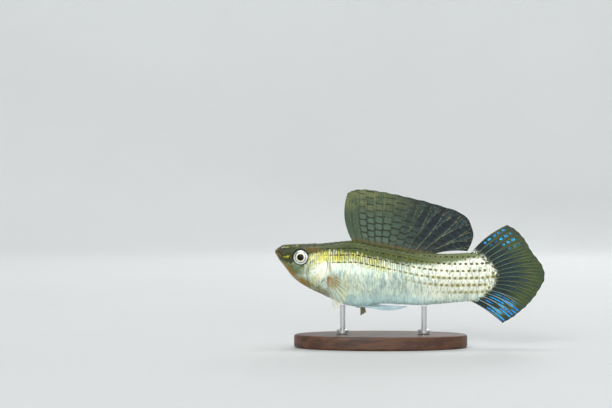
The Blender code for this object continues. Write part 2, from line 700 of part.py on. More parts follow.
def make_pelvic(name, side, pose, collection, parent):
    """A small fan under the belly, rooted beside its middle line."""
    rays = []
    for share in np.linspace(0.0, 1.0, PELVIC_RAYS):
        x = np.interp(share, [0, 1], pose["root"][::-1])
        root = np.array((x, side * PELVIC_ROOT_SIDE, lower_skin(x, PELVIC_ROOT_SIDE) - PELVIC_ROOT_DROP))
        angle = math.radians(np.interp(share, [0, 1], pose["angles"]))
        reach = np.interp(share, [0, 1], pose["reach"])
        spread = np.interp(share, [0, 1], pose["spread"])
        tip = root + (reach * math.cos(angle), side * spread, reach * math.sin(angle))
        rays.append(bent_ray(root, tip, (0.0, 0.0, PELVIC_BEND), PELVIC_STEPS))
    normal = np.cross(rays[0][-1] - rays[0][0], rays[-1][-1] - rays[-1][0])
    ribbed_fin(name, collection, parent, rays, normal, PELVIC_ROOT_HALF, PELVIC_RIDGE)


def make_gonopodium(collection, parent):
    """The male's rod-like anal fin, laid back under the belly, a bundle of rays with a pointed tip."""
    rays = []
    for share in np.linspace(0.0, 1.0, GONOPODIUM_RAYS):
        x = np.interp(share, [0, 1], GONOPODIUM_ROOT[::-1])
        root = (x, 0.0, belly_at(x) - GAP)
        tip = (GONOPODIUM_TIP[0] - GONOPODIUM_TIP_LENGTH * share, 0.0,
               GONOPODIUM_TIP[1] - GONOPODIUM_TIP_HEIGHT * share)
        bend = (0.0, 0.0, -np.interp(share, [0, 1], GONOPODIUM_BENDS))
        rays.append(bent_ray(root, tip, bend, GONOPODIUM_STEPS))
    ribbed_fin("gonopodium", collection, parent, rays, (0, 1, 0), GONOPODIUM_ROOT_HALF, GONOPODIUM_RIDGE)


def make_rod(name, collection, parent, x, foot, top):
    """An upright rod with a collar at its foot, turned from a profile."""
    collar = foot + ROD_COLLAR_HEIGHT
    profile = [(0.0, top), (ROD_RADIUS, top), (ROD_RADIUS, collar), (ROD_RADIUS + ROD_COLLAR_EDGE, collar),
               (ROD_COLLAR_RADIUS, collar - ROD_COLLAR_EDGE), (ROD_COLLAR_RADIUS, foot), (0.0, foot)]
    mesh = bpy.data.meshes.new(name)
    points = [(radius * MM, 0.0, (height - foot) * MM) for radius, height in profile]
    mesh.from_pydata(points, [(k, k + 1) for k in range(len(points) - 1)], [])
    rod = bpy.data.objects.new(name, mesh)
    collection.objects.link(rod)
    rod.parent = parent
    rod.location = (x * MM, sway_at(x) * MM, foot * MM)
    finish_node(rod)
    turning = rod.modifiers.new("turning", "SCREW")
    turning.steps = ROD_SIDES
    turning.render_steps = ROD_SIDES
    turning.use_merge_vertices = True
    turning.merge_threshold = 0.00001
    turning.use_smooth_shade = False


def make_stand(collection, parent):
    """The base on the floor, and two rods that end just under the belly."""
    shape = bmesh.new()
    bmesh.ops.create_cone(shape, cap_ends=True, segments=BASE_SIDES, radius1=1.0, radius2=1.0, depth=1.0)
    for vert in shape.verts:
        x, y, z = vert.co
        vert.co = (x * BASE_HALF_LENGTH * MM, y * BASE_HALF_WIDTH * MM, z * BASE_THICKNESS * MM)
    mesh = bpy.data.meshes.new("stand_base")
    shape.to_mesh(mesh)
    shape.free()
    base = bpy.data.objects.new("stand_base", mesh)
    collection.objects.link(base)
    base.parent = parent
    base.location = (BASE_CENTRE_X * MM, 0.0, (BASE_THICKNESS / 2 - AXIS_HEIGHT) * MM)
    bevel = base.modifiers.new("edge", "BEVEL")
    bevel.width = BASE_BEVEL * MM
    bevel.segments = 2
    finish_node(base)
    foot = BASE_THICKNESS + GAP - AXIS_HEIGHT
    for name, x in ROD_PLACES.items():
        make_rod(name, collection, parent, x, foot, belly_at(x) - GAP)


def main():
    for obj in list(bpy.data.objects):
        bpy.data.objects.remove(obj)
    collection = bpy.data.collections.new("sailfin_molly")
    bpy.context.scene.collection.children.link(collection)
    model = bpy.data.objects.new("model", None)
    collection.objects.link(model)
    model.location = (-MIDDLE_X * MM, 0.0, AXIS_HEIGHT * MM)
    bpy.context.view_layer.update()

    make_head(collection, model)
    make_body(collection, model)
    make_sail(collection, model)
    make_tail_fin(collection, model)
    make_pectoral("pectoral_fin_left", LEFT, collection, model)
    make_pectoral("pectoral_fin_right", RIGHT, collection, model)
    make_pelvic("pelvic_fin_left", LEFT, PELVIC_SWEPT, collection, model)
    make_pelvic("pelvic_fin_right", RIGHT, PELVIC_SPLAYED, collection, model)
    make_gonopodium(collection, model)
    make_stand(collection, model)


main()
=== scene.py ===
"""The looks of a life-size sailfin molly on its display stand.

Sizes are in millimetres in fish space, as in the part: x runs back from the snout tip, y to the fish's
right and z up from the middle of the tail stalk. in_frame() turns them into the frame's metres.
"""

import math

import bmesh
import bpy
import numpy as np
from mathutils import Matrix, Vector


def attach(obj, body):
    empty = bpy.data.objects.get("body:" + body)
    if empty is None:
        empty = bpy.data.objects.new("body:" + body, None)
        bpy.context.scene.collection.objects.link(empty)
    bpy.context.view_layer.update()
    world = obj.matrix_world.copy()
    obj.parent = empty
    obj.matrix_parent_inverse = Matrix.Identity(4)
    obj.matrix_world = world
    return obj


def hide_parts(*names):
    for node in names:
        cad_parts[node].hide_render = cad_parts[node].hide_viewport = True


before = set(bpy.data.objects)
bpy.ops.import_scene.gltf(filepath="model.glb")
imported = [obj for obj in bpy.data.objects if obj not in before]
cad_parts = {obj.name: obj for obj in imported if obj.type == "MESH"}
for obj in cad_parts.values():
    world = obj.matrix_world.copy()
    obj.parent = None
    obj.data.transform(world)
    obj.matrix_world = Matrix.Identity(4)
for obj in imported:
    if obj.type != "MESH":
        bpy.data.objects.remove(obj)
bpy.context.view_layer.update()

MM = 0.001
MIDDLE_X = 40.54
TAIL_TIP_X = 80.87
AXIS_HEIGHT = 21.0
LEFT, RIGHT = -1.0, 1.0

# The body's outline and section along x.
BACK = [(0.5, 8.0), (1.5, 9.0), (2.9, 9.75), (7.5, 10.0), (13.5, 10.15), (19.5, 10.75), (23.7, 11.1),
        (30.0, 10.0), (37.5, 8.6), (45.0, 7.45), (51.0, 7.15), (59.1, 7.5), (66.0, 8.2)]
BELLY = [(0.5, 7.1), (1.5, 5.4), (3.0, 3.5), (6.0, -0.2), (9.0, -2.4), (16.5, -6.1), (21.0, -8.1),
         (25.8, -8.9), (33.0, -7.9), (43.5, -8.35), (49.5, -8.0), (59.1, -7.2), (66.0, -7.9)]
HALF_WIDTH = [(0.5, 0.9), (1.5, 2.0), (3.3, 2.9), (7.5, 4.2), (12.0, 4.8), (16.5, 5.2), (22.0, 5.3),
              (30.0, 4.9), (37.5, 4.2), (45.0, 3.3), (52.5, 2.4), (59.0, 1.5), (62.4, 1.0), (66.0, 0.6)]
WIDEST = [(0.5, 0.55), (5.0, 0.64), (12.0, 0.6), (25.0, 0.5), (66.0, 0.5)]
UPPER_POWER = [(0.5, 2.2), (7.5, 2.7), (16.0, 2.2), (24.0, 1.85), (45.0, 2.0), (66.0, 2.0)]
LOWER_POWER = [(0.5, 2.2), (7.5, 1.75), (18.0, 1.9), (26.0, 2.2), (45.0, 2.0), (66.0, 2.0)]
SWAY_START = 30.0
SWAY = 1.8

SNOUT = 0.5
NOSE_TIP = 0.3
BODY_END = 66.0
GILL_EDGE = 15.9
GILL_LEVEL = 0.1
GILL_SET_BACK_ABOVE = 2.6
GILL_SET_BACK_BELOW = 4.2
GILL_FLARE = 0.34
GILL_FLARE_LENGTH = 3.5
# The gill slit behind the cover's edge: (distance behind it, height over the skin).
GILL_SLIT = [(0.0, 0.31), (0.03, 0.22), (0.05, 0.0), (0.07, -0.3), (0.13, -0.42), (0.25, -0.42), (0.4, -0.3),
             (0.6, -0.14), (0.8, -0.04), (1.0, 0.0)]
STALK_CORNER = 59.1
STALK_BULGE = 6.6
SKIN_INSET = 0.07
ROUND_STEPS = 256

# The head's features, seen from the side.
EYE_PLACE = (8.0, 6.15)
EYE_RADIUS = 2.32
IRIS_RADIUS = 2.13
PUPIL_RADIUS = 0.97
EYE_PROUD = 0.52
EYE_TILT = 0.05
NOSTRILS = [(3.7, 8.9), (4.8, 8.2)]
NOSTRIL_RADIUS = 0.19
MOUTH_FRONT = (0.95, 8.35)
MOUTH_CORNER = (2.9, 6.4)
LIP_FOLD = [(1.9, 8.75), (2.9, 8.55), (4.1, 8.6)]
JAW_LINE = [MOUTH_CORNER, (3.5, 4.2), (4.3, 1.6)]
GILL_COVER_FRONT = [(11.2, 5.0), (10.3, 3.4), (9.8, 1.0), (10.1, -1.2), (11.2, -3.4), (12.6, -6.5)]
PORES = [(5.2, 5.4, 0.2), (5.4, 4.7, 0.15), (6.3, 3.9, 0.22), (7.2, 3.3, 0.12), (4.6, 6.6, 0.12),
         (9.9, 3.8, 0.14), (10.8, 5.6, 0.2), (11.4, 6.6, 0.16), (6.0, 9.0, 0.13), (9.4, 9.0, 0.14)]
PECTORAL_BASE = (17.2, -0.7)
PECTORAL_SWELL = (1.5, 1.5)
PECTORAL_RISE = 0.3
PECTORAL_BARE = 1.15

# Soft patches of tint on the head: (strength, centre, radii).
OCHRE_PATCHES = [(0.45, (1.0, 6.9), (1.7, 2.1)), (0.85, (17.5, -1.1), (2.7, 2.8)),
                 (0.6, (16.7, 3.4), (0.6, 2.3)), (0.42, (12.0, 8.3), (3.2, 1.4)),
                 (0.3, (12.0, -3.2), (3.4, 1.9))]
MINT_PATCHES = [(1.0, (6.2, 3.2), (4.6, 3.6)), (0.8, (3.2, 5.6), (3.2, 3.2))]
GOLD_PATCHES = [(1.0, (13.0, 5.7), (3.6, 1.9)), (0.35, (12.6, -0.6), (2.8, 1.8))]

# Bright marks on the head: (0 white, 1 yellow or 2 blue, count, range of x, range of z, length, width, lean).
FLECKS = [(0, 22, (10.4, 15.6), (4.2, 6.2), 0.36, 0.15, 80.0),
          (1, 40, (10.2, 16.8), (4.6, 7.2), 0.4, 0.16, 70.0),
          (0, 14, (9.3, 11.4), (0.2, 4.2), 0.6, 0.12, 80.0),
          (1, 14, (9.0, 11.6), (0.2, 4.4), 0.5, 0.12, 75.0),
          (1, 5, (3.2, 4.4), (6.2, 6.5), 0.4, 0.15, 5.0),
          (0, 3, (2.6, 4.2), (9.0, 9.3), 0.3, 0.1, 5.0),
          (1, 5, (3.6, 8.0), (8.9, 9.4), 0.3, 0.1, 5.0),
          (2, 16, (9.6, 12.4), (1.4, 5.6), 0.34, 0.2, 60.0),
          (2, 14, (11.6, 15.4), (-3.2, 0.2), 0.4, 0.22, 60.0),
          (0, 16, (11.8, 15.2), (-2.8, 0.8), 0.45, 0.14, 70.0),
          (1, 12, (11.0, 14.6), (-2.6, 1.2), 0.4, 0.14, 70.0),
          (2, 10, (11.0, 15.6), (4.4, 6.6), 0.26, 0.14, 70.0)]
FLECK_RISE = 0.06

# The scales, in rows at a set distance from the back's middle line.
SCALE_PITCH = 1.65
SCALE_LENGTH = 2.8
FIRST_SCALE = 7.1
LAST_SCALE = 66.4
TAIL_ROOT_X = 62.0
MIDDLE_AHEAD = 0.8
COVER_SIZE = 0.8
SMALL_SIZE = 0.5
SLIT_TOP = 6.1
SLIT_REAR = 0.16
ROW_SPACING = [(9.0, 2.3), (18.0, 2.27), (60.0, 2.12)]
FIRST_ROW = 0.77
HEAD_ROW_STARTS = (7.0, 7.4, 11.0, 12.2)
COVER_SCALES_START = 12.4
SCALE_LIFT = 0.13
SCALE_SINK = 0.05
SCALE_STEPS = np.array([0.0, 0.28, 0.46, 0.6, 0.72, 0.82, 0.9, 0.96, 1.0])
SCALE_SIDES = np.array([-1.0, -0.86, -0.66, -0.4, -0.14, 0.14, 0.4, 0.66, 0.86, 1.0])
# For each row, how strong its spots are along x.
SPOT_SHARE = {0: [(10.0, 0.2), (66.0, 0.3)],
              1: [(10.0, 0.3), (16.0, 0.9), (66.0, 0.9)],
              2: [(12.0, 0.2), (17.0, 1.0), (66.0, 1.0)],
              3: [(14.0, 0.15), (20.0, 1.0), (66.0, 1.0)],
              4: [(17.0, 0.2), (20.0, 1.0), (33.0, 0.95), (38.0, 0.6), (46.0, 0.95), (66.0, 1.0)],
              5: [(15.0, 0.0), (38.0, 0.05), (46.0, 0.7), (52.0, 0.95), (66.0, 1.0)],
              6: [(15.0, 0.0), (48.0, 0.0), (57.0, 0.8), (66.0, 0.8)],
              7: [(15.0, 0.0), (56.0, 0.0), (62.0, 0.4), (66.0, 0.4)]}
# The sheet that the scales' patches lie on: its length, and its breadth round the body.
SHEET_LENGTH = 70.0
SHEET_BREADTH = 56.0


def rgb(red, green, blue):
    """A linear colour with full alpha from 0-255 screen values."""
    parts = []
    for part in (red, green, blue):
        part /= 255
        parts.append(part / 12.92 if part <= 0.04045 else ((part + 0.055) / 1.055) ** 2.4)
    return (*parts, 1.0)


OLIVE = rgb(76, 88, 20)
OLIVE_REAR = rgb(124, 138, 90)
GOLD = rgb(126, 128, 22)
GOLD_LIT = rgb(244, 234, 84)
SILVER = rgb(204, 218, 192)
PEARL = rgb(244, 246, 226)
STEEL = rgb(140, 160, 160)
BELLY_BLUE = rgb(196, 236, 240)
OCHRE = rgb(148, 108, 22)
MINT = rgb(96, 112, 68)
SPOT_DARK = rgb(34, 34, 8)
SPOT_GOLD = rgb(142, 130, 2)
# The colour of the painted shade in the head's creases and pits.
PAINTED_CREASE_SHADE = rgb(30, 32, 18)


# ---- shapes ----

def curve_through(points):
    """A smooth function through the (x, value) points that doesn't pass their highs and lows."""
    xs, values = np.array(points, float).T
    steps = np.diff(xs)
    slopes = np.diff(values) / steps
    before, after = slopes[:-1], slopes[1:]
    same_way = before * after > 0
    inner = np.where(same_way, 2 * before * after / np.where(same_way, before + after, 1.0), 0.0)
    tangents = np.concatenate([slopes[:1], inner, slopes[-1:]])

    def value(x):
        i = np.clip(np.searchsorted(xs, x) - 1, 0, len(steps) - 1)
        t = np.clip((x - xs[i]) / steps[i], 0.0, 1.0)
        rise, step = values[i + 1] - values[i], steps[i]
        start, end = tangents[i] * step, tangents[i + 1] * step
        return values[i] + start * t + (3 * rise - 2 * start - end) * t**2 + (start + end - 2 * rise) * t**3

    return value


back_at, belly_at, half_width_at, widest_at, upper_power_at, lower_power_at, spacing_at = map(
    curve_through, (BACK, BELLY, HALF_WIDTH, WIDEST, UPPER_POWER, LOWER_POWER, ROW_SPACING))


def smooth(value, low, high):
    """0 below low, 1 above high, and a smooth rise between."""
    t = np.clip((value - low) / (high - low), 0.0, 1.0)
    return t * t * (3 - 2 * t)


def bell(value, width):
    """1 at 0, falling smoothly to both sides."""
    return np.exp(-((value / width) ** 2))


def blob(x, z, centre, radii):
    """1 in the middle of an oval patch, falling smoothly to 0 at its edge."""
    far = ((x - centre[0]) / radii[0]) ** 2 + ((z - centre[1]) / radii[1]) ** 2
    return 1 - smooth(far, 0.15, 1.0)


def power(value, exponent):
    return np.sign(value) * np.abs(value) ** exponent


def triple(x, y, z):
    """Points or other groups of three from their parts."""
    return np.stack(np.broadcast_arrays(x, y, z), axis=-1)


def level_at(x):
    """Height at which the body is widest."""
    return belly_at(x) + (back_at(x) - belly_at(x)) * widest_at(x)


def skin_at(x, turn, swell=0.0):
    """Points of the body's surface, before the tail's swing. turn goes round from the back to the left."""
    x, turn, swell = np.broadcast_arrays(np.asarray(x, float), turn, swell)
    nose = np.sqrt(np.clip((x - NOSE_TIP) / (SNOUT - NOSE_TIP), 0.0, 1.0))
    top, bottom, level = back_at(x), belly_at(x), level_at(x)
    c, s = np.cos(turn), np.sin(turn)
    exponent = 2 / np.where(c >= 0, upper_power_at(x), lower_power_at(x))
    reach = (np.where(c >= 0, top - level, level - bottom) + swell) * nose
    width = (half_width_at(x) + swell) * nose
    return triple(x, -power(s, exponent) * width, level + power(c, exponent) * reach)


def in_frame(points):
    """Points of fish space, with the tail's swing, in the frame's metres."""
    moved = np.array(points, float)
    past = np.maximum(0.0, moved[..., 0] - SWAY_START) / (TAIL_TIP_X - SWAY_START)
    moved[..., 1] -= SWAY * past**2
    return (moved + (-MIDDLE_X, 0.0, AXIS_HEIGHT)) * MM


def facing(x, turn):
    """Outward unit directions of the body's surface."""
    step = 0.02
    ahead = skin_at(x + step, turn) - skin_at(x - step, turn)
    round_it = skin_at(x, turn + step) - skin_at(x, turn - step)
    out = np.cross(round_it, ahead)
    return out / np.maximum(np.linalg.norm(out, axis=-1, keepdims=True), 1e-9)


def side_at(x, z):
    """Half the body's width at x and height z."""
    level = level_at(x)
    exponent = upper_power_at(x) if z >= level else lower_power_at(x)
    reach = back_at(x) - level if z >= level else level - belly_at(x)
    share = min(abs(z - level) / reach, 1.0)
    return float(half_width_at(x) * (1 - share**exponent) ** (1 / exponent))


def lower_skin(x, y):
    """Height of the belly's surface at x and y."""
    level, exponent = level_at(x), lower_power_at(x)
    share = np.minimum(abs(y) / half_width_at(x), 1.0)
    return level - (level - belly_at(x)) * (1 - share**exponent) ** (1 / exponent)


def gill_edge(turn):
    """x of the gill cover's edge."""
    height = np.cos(turn)
    above = GILL_SET_BACK_ABOVE * (np.maximum(height - GILL_LEVEL, 0) / (1 - GILL_LEVEL)) ** 2
    below = GILL_SET_BACK_BELOW * (np.maximum(GILL_LEVEL - height, 0) / (1 + GILL_LEVEL)) ** 2
    return GILL_EDGE - above - below


def slit_depth(z, turn):
    """1 where the gill slit is open, and 0 over the nape and at the throat's middle."""
    return (1 - smooth(z, 4.3, 5.6)) * (1 - smooth(np.abs(np.cos(turn)) * (np.cos(turn) < 0), 0.93, 1.0))


def stalk_end(turn):
    return STALK_CORNER + STALK_BULGE * np.sin(turn) ** 2


# Distances over the skin from the back's middle line, as tables along x and round the section.
TABLE_X = np.linspace(SNOUT, BODY_END, 263)
TABLE_TURN = np.linspace(0.0, math.pi, 361)
SECTIONS = skin_at(TABLE_X[:, None], TABLE_TURN[None, :])
ARC = np.concatenate([np.zeros((len(TABLE_X), 1)),
                      np.cumsum(np.linalg.norm(np.diff(SECTIONS, axis=1), axis=2), axis=1)], axis=1)
GIRTH = ARC[:, -1]
SHARES = np.linspace(0.0, 1.0, 361)
TURNS = np.array([np.interp(SHARES, row / row[-1], TABLE_TURN) for row in ARC])


def between(table, columns, x, value):
    """Values of a table at x and at a value of its columns, straight between its entries."""
    i = np.clip((x - TABLE_X[0]) / (TABLE_X[1] - TABLE_X[0]), 0, len(TABLE_X) - 1.001)
    j = np.clip((value - columns[0]) / (columns[1] - columns[0]), 0, len(columns) - 1.001)
    a, b = i.astype(int), j.astype(int)
    i, j = i - a, j - b
    return ((1 - i) * ((1 - j) * table[a, b] + j * table[a, b + 1])
            + i * ((1 - j) * table[a + 1, b] + j * table[a + 1, b + 1]))


def girth_at(x):
    """Distance from the back's middle line to the belly's."""
    return np.interp(x, TABLE_X, GIRTH)


def turn_at(x, arc):
    """The turn at a distance from the back's middle line: above 0 on the left, below 0 on the right."""
    girth = girth_at(x)
    past = np.abs(arc) > girth
    inside = np.where(past, 2 * girth - np.abs(arc), np.abs(arc))
    turn = between(TURNS, SHARES, x, inside / girth)
    return np.sign(arc) * np.where(past, 2 * math.pi - turn, turn)


def row_arc(row, x):
    """Distance of a scale row's middle from the back's middle line."""
    return spacing_at(x) * (FIRST_ROW + row - 1) if row else x * 0.0


# ---- markings ----

back_edge_at = curve_through([(0.5, 1.2), (2.0, 6.2), (4.6, 7.9), (9.0, 6.8), (12.0, 6.0), (14.0, 5.2),
                              (16.0, 4.8), (21.0, 5.2), (30.0, 5.8), (36.0, 5.9), (42.0, 5.2), (47.0, 4.4),
                              (54.6, 3.1), (60.0, 1.9)])
gold_share_at = curve_through([(9.5, 0.0), (11.5, 0.6), (13.0, 1.0), (30.0, 0.95), (36.0, 0.55), (44.0, 0.2),
                               (66.0, 0.12)])


def patched(values, x, z, patches):
    """Values raised to the strongest of a few soft patches."""
    for strength, centre, radii in patches:
        values = np.maximum(values, strength * blob(x, z, centre, radii))
    return values


def markings(points, arc):
    """Shares of the tints over the skin: (back, gold, belly) and (ochre, pearl, mint)."""
    x, z = points[..., 0], points[..., 2]
    arc = np.abs(arc)
    share = arc / girth_at(x)
    edge = back_edge_at(x)
    height = z - belly_at(x)
    back = 1 - smooth(arc, edge - 1.0, edge + 0.8)
    gold = smooth(arc, edge - 1.0, edge + 0.2) * (1 - smooth(arc, edge + 2.5, edge + 4.6)) * gold_share_at(x)
    gold = patched(gold, x, z, GOLD_PATCHES)
    belly = smooth(share, 0.64, 0.86) * smooth(x, 14.0, 20.0) * (1 - 0.6 * smooth(x, 42.0, 56.0))
    belly = np.maximum(belly, 0.5 * blob(x, z, (15.0, -1.6), (1.3, 2.4)) * (x < 16.2))
    ochre = bell(height - 1.0, 0.7 + 0.04 * x) * smooth(x, 1.8, 4.4)
    ochre = ochre * (1 - 0.5 * smooth(x, 8.0, 12.0)) * (1 - smooth(x, 15.5, 19.0))
    ochre = patched(ochre, x, z, OCHRE_PATCHES)
    # The gill cover's pale patch, partly its pale silver and partly a painted highlight.
    pearl = blob(x, z, (13.9, 2.5), (3.9, 3.5)) * (x < 16.4)
    pearl = np.maximum(pearl, 0.25 * blob(x, z, (18.3, 3.2), (2.0, 2.6)))
    pearl = np.maximum(pearl, smooth(x, 38.0, 50.0) * (1 - smooth(share, 0.72, 0.95)) * (1 - back))
    mint = patched(0.85 * (1 - smooth(height, 1.4, 3.6)) * (1 - smooth(x, 13.5, 17.5)), x, z, MINT_PATCHES)
    return triple(back, gold, belly), triple(ochre, pearl, mint)


class Value:
    """A number in a material's node tree. Arithmetic on it adds Math nodes."""

    def __init__(self, socket):
        self.tree, self.socket = socket.id_data, socket

    def math(self, operation, *others):
        node = self.tree.nodes.new("ShaderNodeMath")
        node.operation = operation
        return fed(node, self, *others)

    def __add__(self, other):
        return self.math("ADD", other)

    def __sub__(self, other):
        return self.math("SUBTRACT", other)

    def __mul__(self, other):
        return self.math("MULTIPLY", other)

    def __truediv__(self, other):
        return self.math("DIVIDE", other)

    __radd__ = __add__
    __rmul__ = __mul__

    def __rsub__(self, other):
        return self * -1.0 + other

    def smooth(self, low, high):
        """0 below low and 1 above high, or the other way round where low is above high."""
        node = self.tree.nodes.new("ShaderNodeMapRange")
        node.interpolation_type = "SMOOTHSTEP"
        ends = (1.0, 0.0) if low > high else (0.0, 1.0)
        return fed(node, self, min(low, high), max(low, high), *ends)


def fed(node, *values):
    """A node's first output as a Value, with its first inputs plugged."""
    for socket, value in zip(node.inputs, values):
        plug(socket, value)
    return Value(node.outputs[0])


def plug(socket, value):
    """Links or sets a node's input."""
    if isinstance(value, Value):
        value = value.socket
    if isinstance(value, bpy.types.NodeSocket):
        socket.id_data.links.new(value, socket)
    else:
        socket.default_value = value


def new_material(name, roughness=0.4, **settings):
    """A new material, its node tree and its Principled shader."""
    made = bpy.data.materials.new(name)
    made.use_nodes = True
    shader = made.node_tree.nodes["Principled BSDF"]
    shader.inputs["Roughness"].default_value = roughness
    for key, value in settings.items():
        shader.inputs[key.replace("_", " ").title().replace("Ior", "IOR")].default_value = value
    return made, made.node_tree, shader


def mixed(share, low, high):
    """A colour between low and high."""
    node = share.tree.nodes.new("ShaderNodeMix")
    node.data_type = "RGBA"
    for place, value in ((0, share), (6, low), (7, high)):
        plug(node.inputs[place], value)
    return node.outputs[2]


def layered(tint, *layers):
    """A colour with others laid over it in turn, each as (share, colour)."""
    for share, over in layers:
        tint = mixed(share, tint, over)
    return tint


def shaded(tint, factor):
    """A colour made lighter or darker by a factor."""
    node = tint.id_data.nodes.new("ShaderNodeVectorMath")
    node.operation = "SCALE"
    plug(node.inputs[0], tint)
    plug(node.inputs[3], factor)
    return node.outputs[0]


def attribute(tree, name):
    """The three numbers of a vector attribute."""
    node = tree.nodes.new("ShaderNodeAttribute")
    node.attribute_name = name
    split = tree.nodes.new("ShaderNodeSeparateXYZ")
    plug(split.inputs[0], node.outputs["Vector"])
    return [Value(socket) for socket in split.outputs]


def noise(tree, scale, detail=2.0, stretch=(1.0, 1.0, 1.0), roughness=0.5):
    """Noise over the object's own coordinates, in repeats a metre."""
    place = tree.nodes.new("ShaderNodeTexCoord")
    mapping = tree.nodes.new("ShaderNodeMapping")
    node = tree.nodes.new("ShaderNodeTexNoise")
    for to, key, value in ((mapping, "Scale", stretch), (mapping, "Vector", place.outputs["Object"]),
                           (node, "Vector", mapping.outputs[0]), (node, "Scale", scale),
                           (node, "Detail", detail), (node, "Roughness", roughness)):
        plug(to.inputs[key], value)
    return Value(node.outputs[0])


def bumped(shader, height, depth, strength=1.0):
    """Small relief of a height from 0 to 1 and a depth in millimetres."""
    node = height.tree.nodes.new("ShaderNodeBump")
    for key, value in (("Distance", depth * MM), ("Strength", strength), ("Height", height)):
        plug(node.inputs[key], value)
    plug(shader.inputs["Normal"], node.outputs[0])


def body_tint(tree, x, mottle_and_glint, streak):
    """The markings that skin and scales share: a colour, and how silvery it is. Its third argument is 1 on
    the skin's light mottling and on the painted glint at each scale's rear.
    """
    back, gold, belly = attribute(tree, "tint")
    ochre, pearl, mint = attribute(tree, "tint_more")
    white, yellow, blue = attribute(tree, "flecks")
    grain = noise(tree, 1100.0, 3.0)
    patchy = noise(tree, 300.0, 2.0)
    cloud = noise(tree, 420.0, 1.0, (1.0, 0.2, 0.3))
    dash = noise(tree, 1900.0, 1.0, (1.0, 0.2, 0.27))
    bars = (x * 9.2 + dash * 7.0 + patchy * 6.0).math("SINE").smooth(-0.1, 0.9)
    # Bright dashes of the noise are painted glints, and dim ones are painted shade.
    painted_glint_dashes, painted_shade_dashes = dash.smooth(0.48, 0.56), dash.smooth(0.47, 0.37)
    rear = x.smooth(34.0, 58.0)
    open_flank = 0.25 + (1.0 - belly) * (x.smooth(30.0, 44.0) * 0.4 + 0.35)
    # 0 on the gill cover's pale patch, which gets a painted highlight and no painted shade dashes.
    outside_cover_highlight = 1.0 - pearl * x.smooth(24.0, 18.0)
    back = (back + back * (1.0 - back) * (dash - 0.5) * 12.0).smooth(0.15, 0.85)
    paler = (patchy + x.smooth(20.0, 36.0) * 0.14 + grain * 0.2).smooth(0.62, 0.76)
    golden = mixed(bars, GOLD, mixed(paler, GOLD_LIT, PEARL))
    # The back is lighter on its mottling and on each scale's painted glint.
    back_tint = mixed(mottle_and_glint * (0.3 + rear * 0.3), mixed(rear, OLIVE, OLIVE_REAR), rgb(140, 146, 82))
    # Over the silver: the pearl patches, pearl painted glints, steel-grey painted shade dashes with grey-blue
    # clouds, mint, gold, the back and ochre.
    tint = layered(mixed((cloud.smooth(0.42, 0.62) * 0.4).math("MAXIMUM", belly * 0.8), SILVER, BELLY_BLUE),
                   (pearl, PEARL), ((mottle_and_glint * 0.35 + painted_glint_dashes * 0.6) * open_flank, PEARL),
                   ((painted_shade_dashes + cloud.smooth(0.54, 0.7) * (1.0 - pearl)) * open_flank * outside_cover_highlight * 0.6, STEEL),
                   (mint * (0.7 + patchy.smooth(0.35, 0.6) * 0.3), MINT),
                   (gold * (0.75 + bars * 0.25), golden),
                   (back * (0.88 + grain * 0.12), shaded(back_tint, 0.36 + x.smooth(3.0, 28.0) * 0.64)),
                   (ochre * (0.5 + patchy.smooth(0.3, 0.6) * 0.5), OCHRE))
    # Lighter on the gill cover's painted highlight and along streak, which is painted glint on the scales and
    # light mottling on the skin; the belly a little lighter.
    tint = shaded(tint, 0.78 - outside_cover_highlight * 0.2 + grain * 0.4 + streak * 0.42 + belly * 0.14)
    tint = layered(tint, (blue * 0.75, rgb(96, 118, 134)), (yellow * 0.9, rgb(222, 210, 50)),
                   (white * 0.9, rgb(248, 248, 222)))
    silvery = 1.0 - back * 0.8
    for share, strength in ((ochre, 0.7), (gold, 0.4), (mint, 0.6), (belly, 0.8)):
        silvery = silvery * (1.0 - share * strength)
    return tint, silvery


def skin_material():
    made, tree, shader = new_material("skin_finish", 0.38, coat_weight=0.08, coat_roughness=0.12,
                                      specular_ior_level=0.25)
    x, dark, speck = attribute(tree, "skin_place")
    fine = noise(tree, 3600.0, 3.0)
    mottle = noise(tree, 1900.0, 2.0)
    tint, silvery = body_tint(tree, x, mottle.smooth(0.5, 0.66), mottle)
    # The head's painted shade in creases and pits, and the brown pores, laid over the markings.
    plug(shader.inputs["Base Color"], layered(tint, (speck * 0.7, rgb(84, 52, 26)), (dark, PAINTED_CREASE_SHADE)))
    plug(shader.inputs["Metallic"], silvery * (1.0 - dark) * 0.4)
    bumped(shader, fine * 0.6 + mottle * 0.4, 0.06, 0.5)
    return made


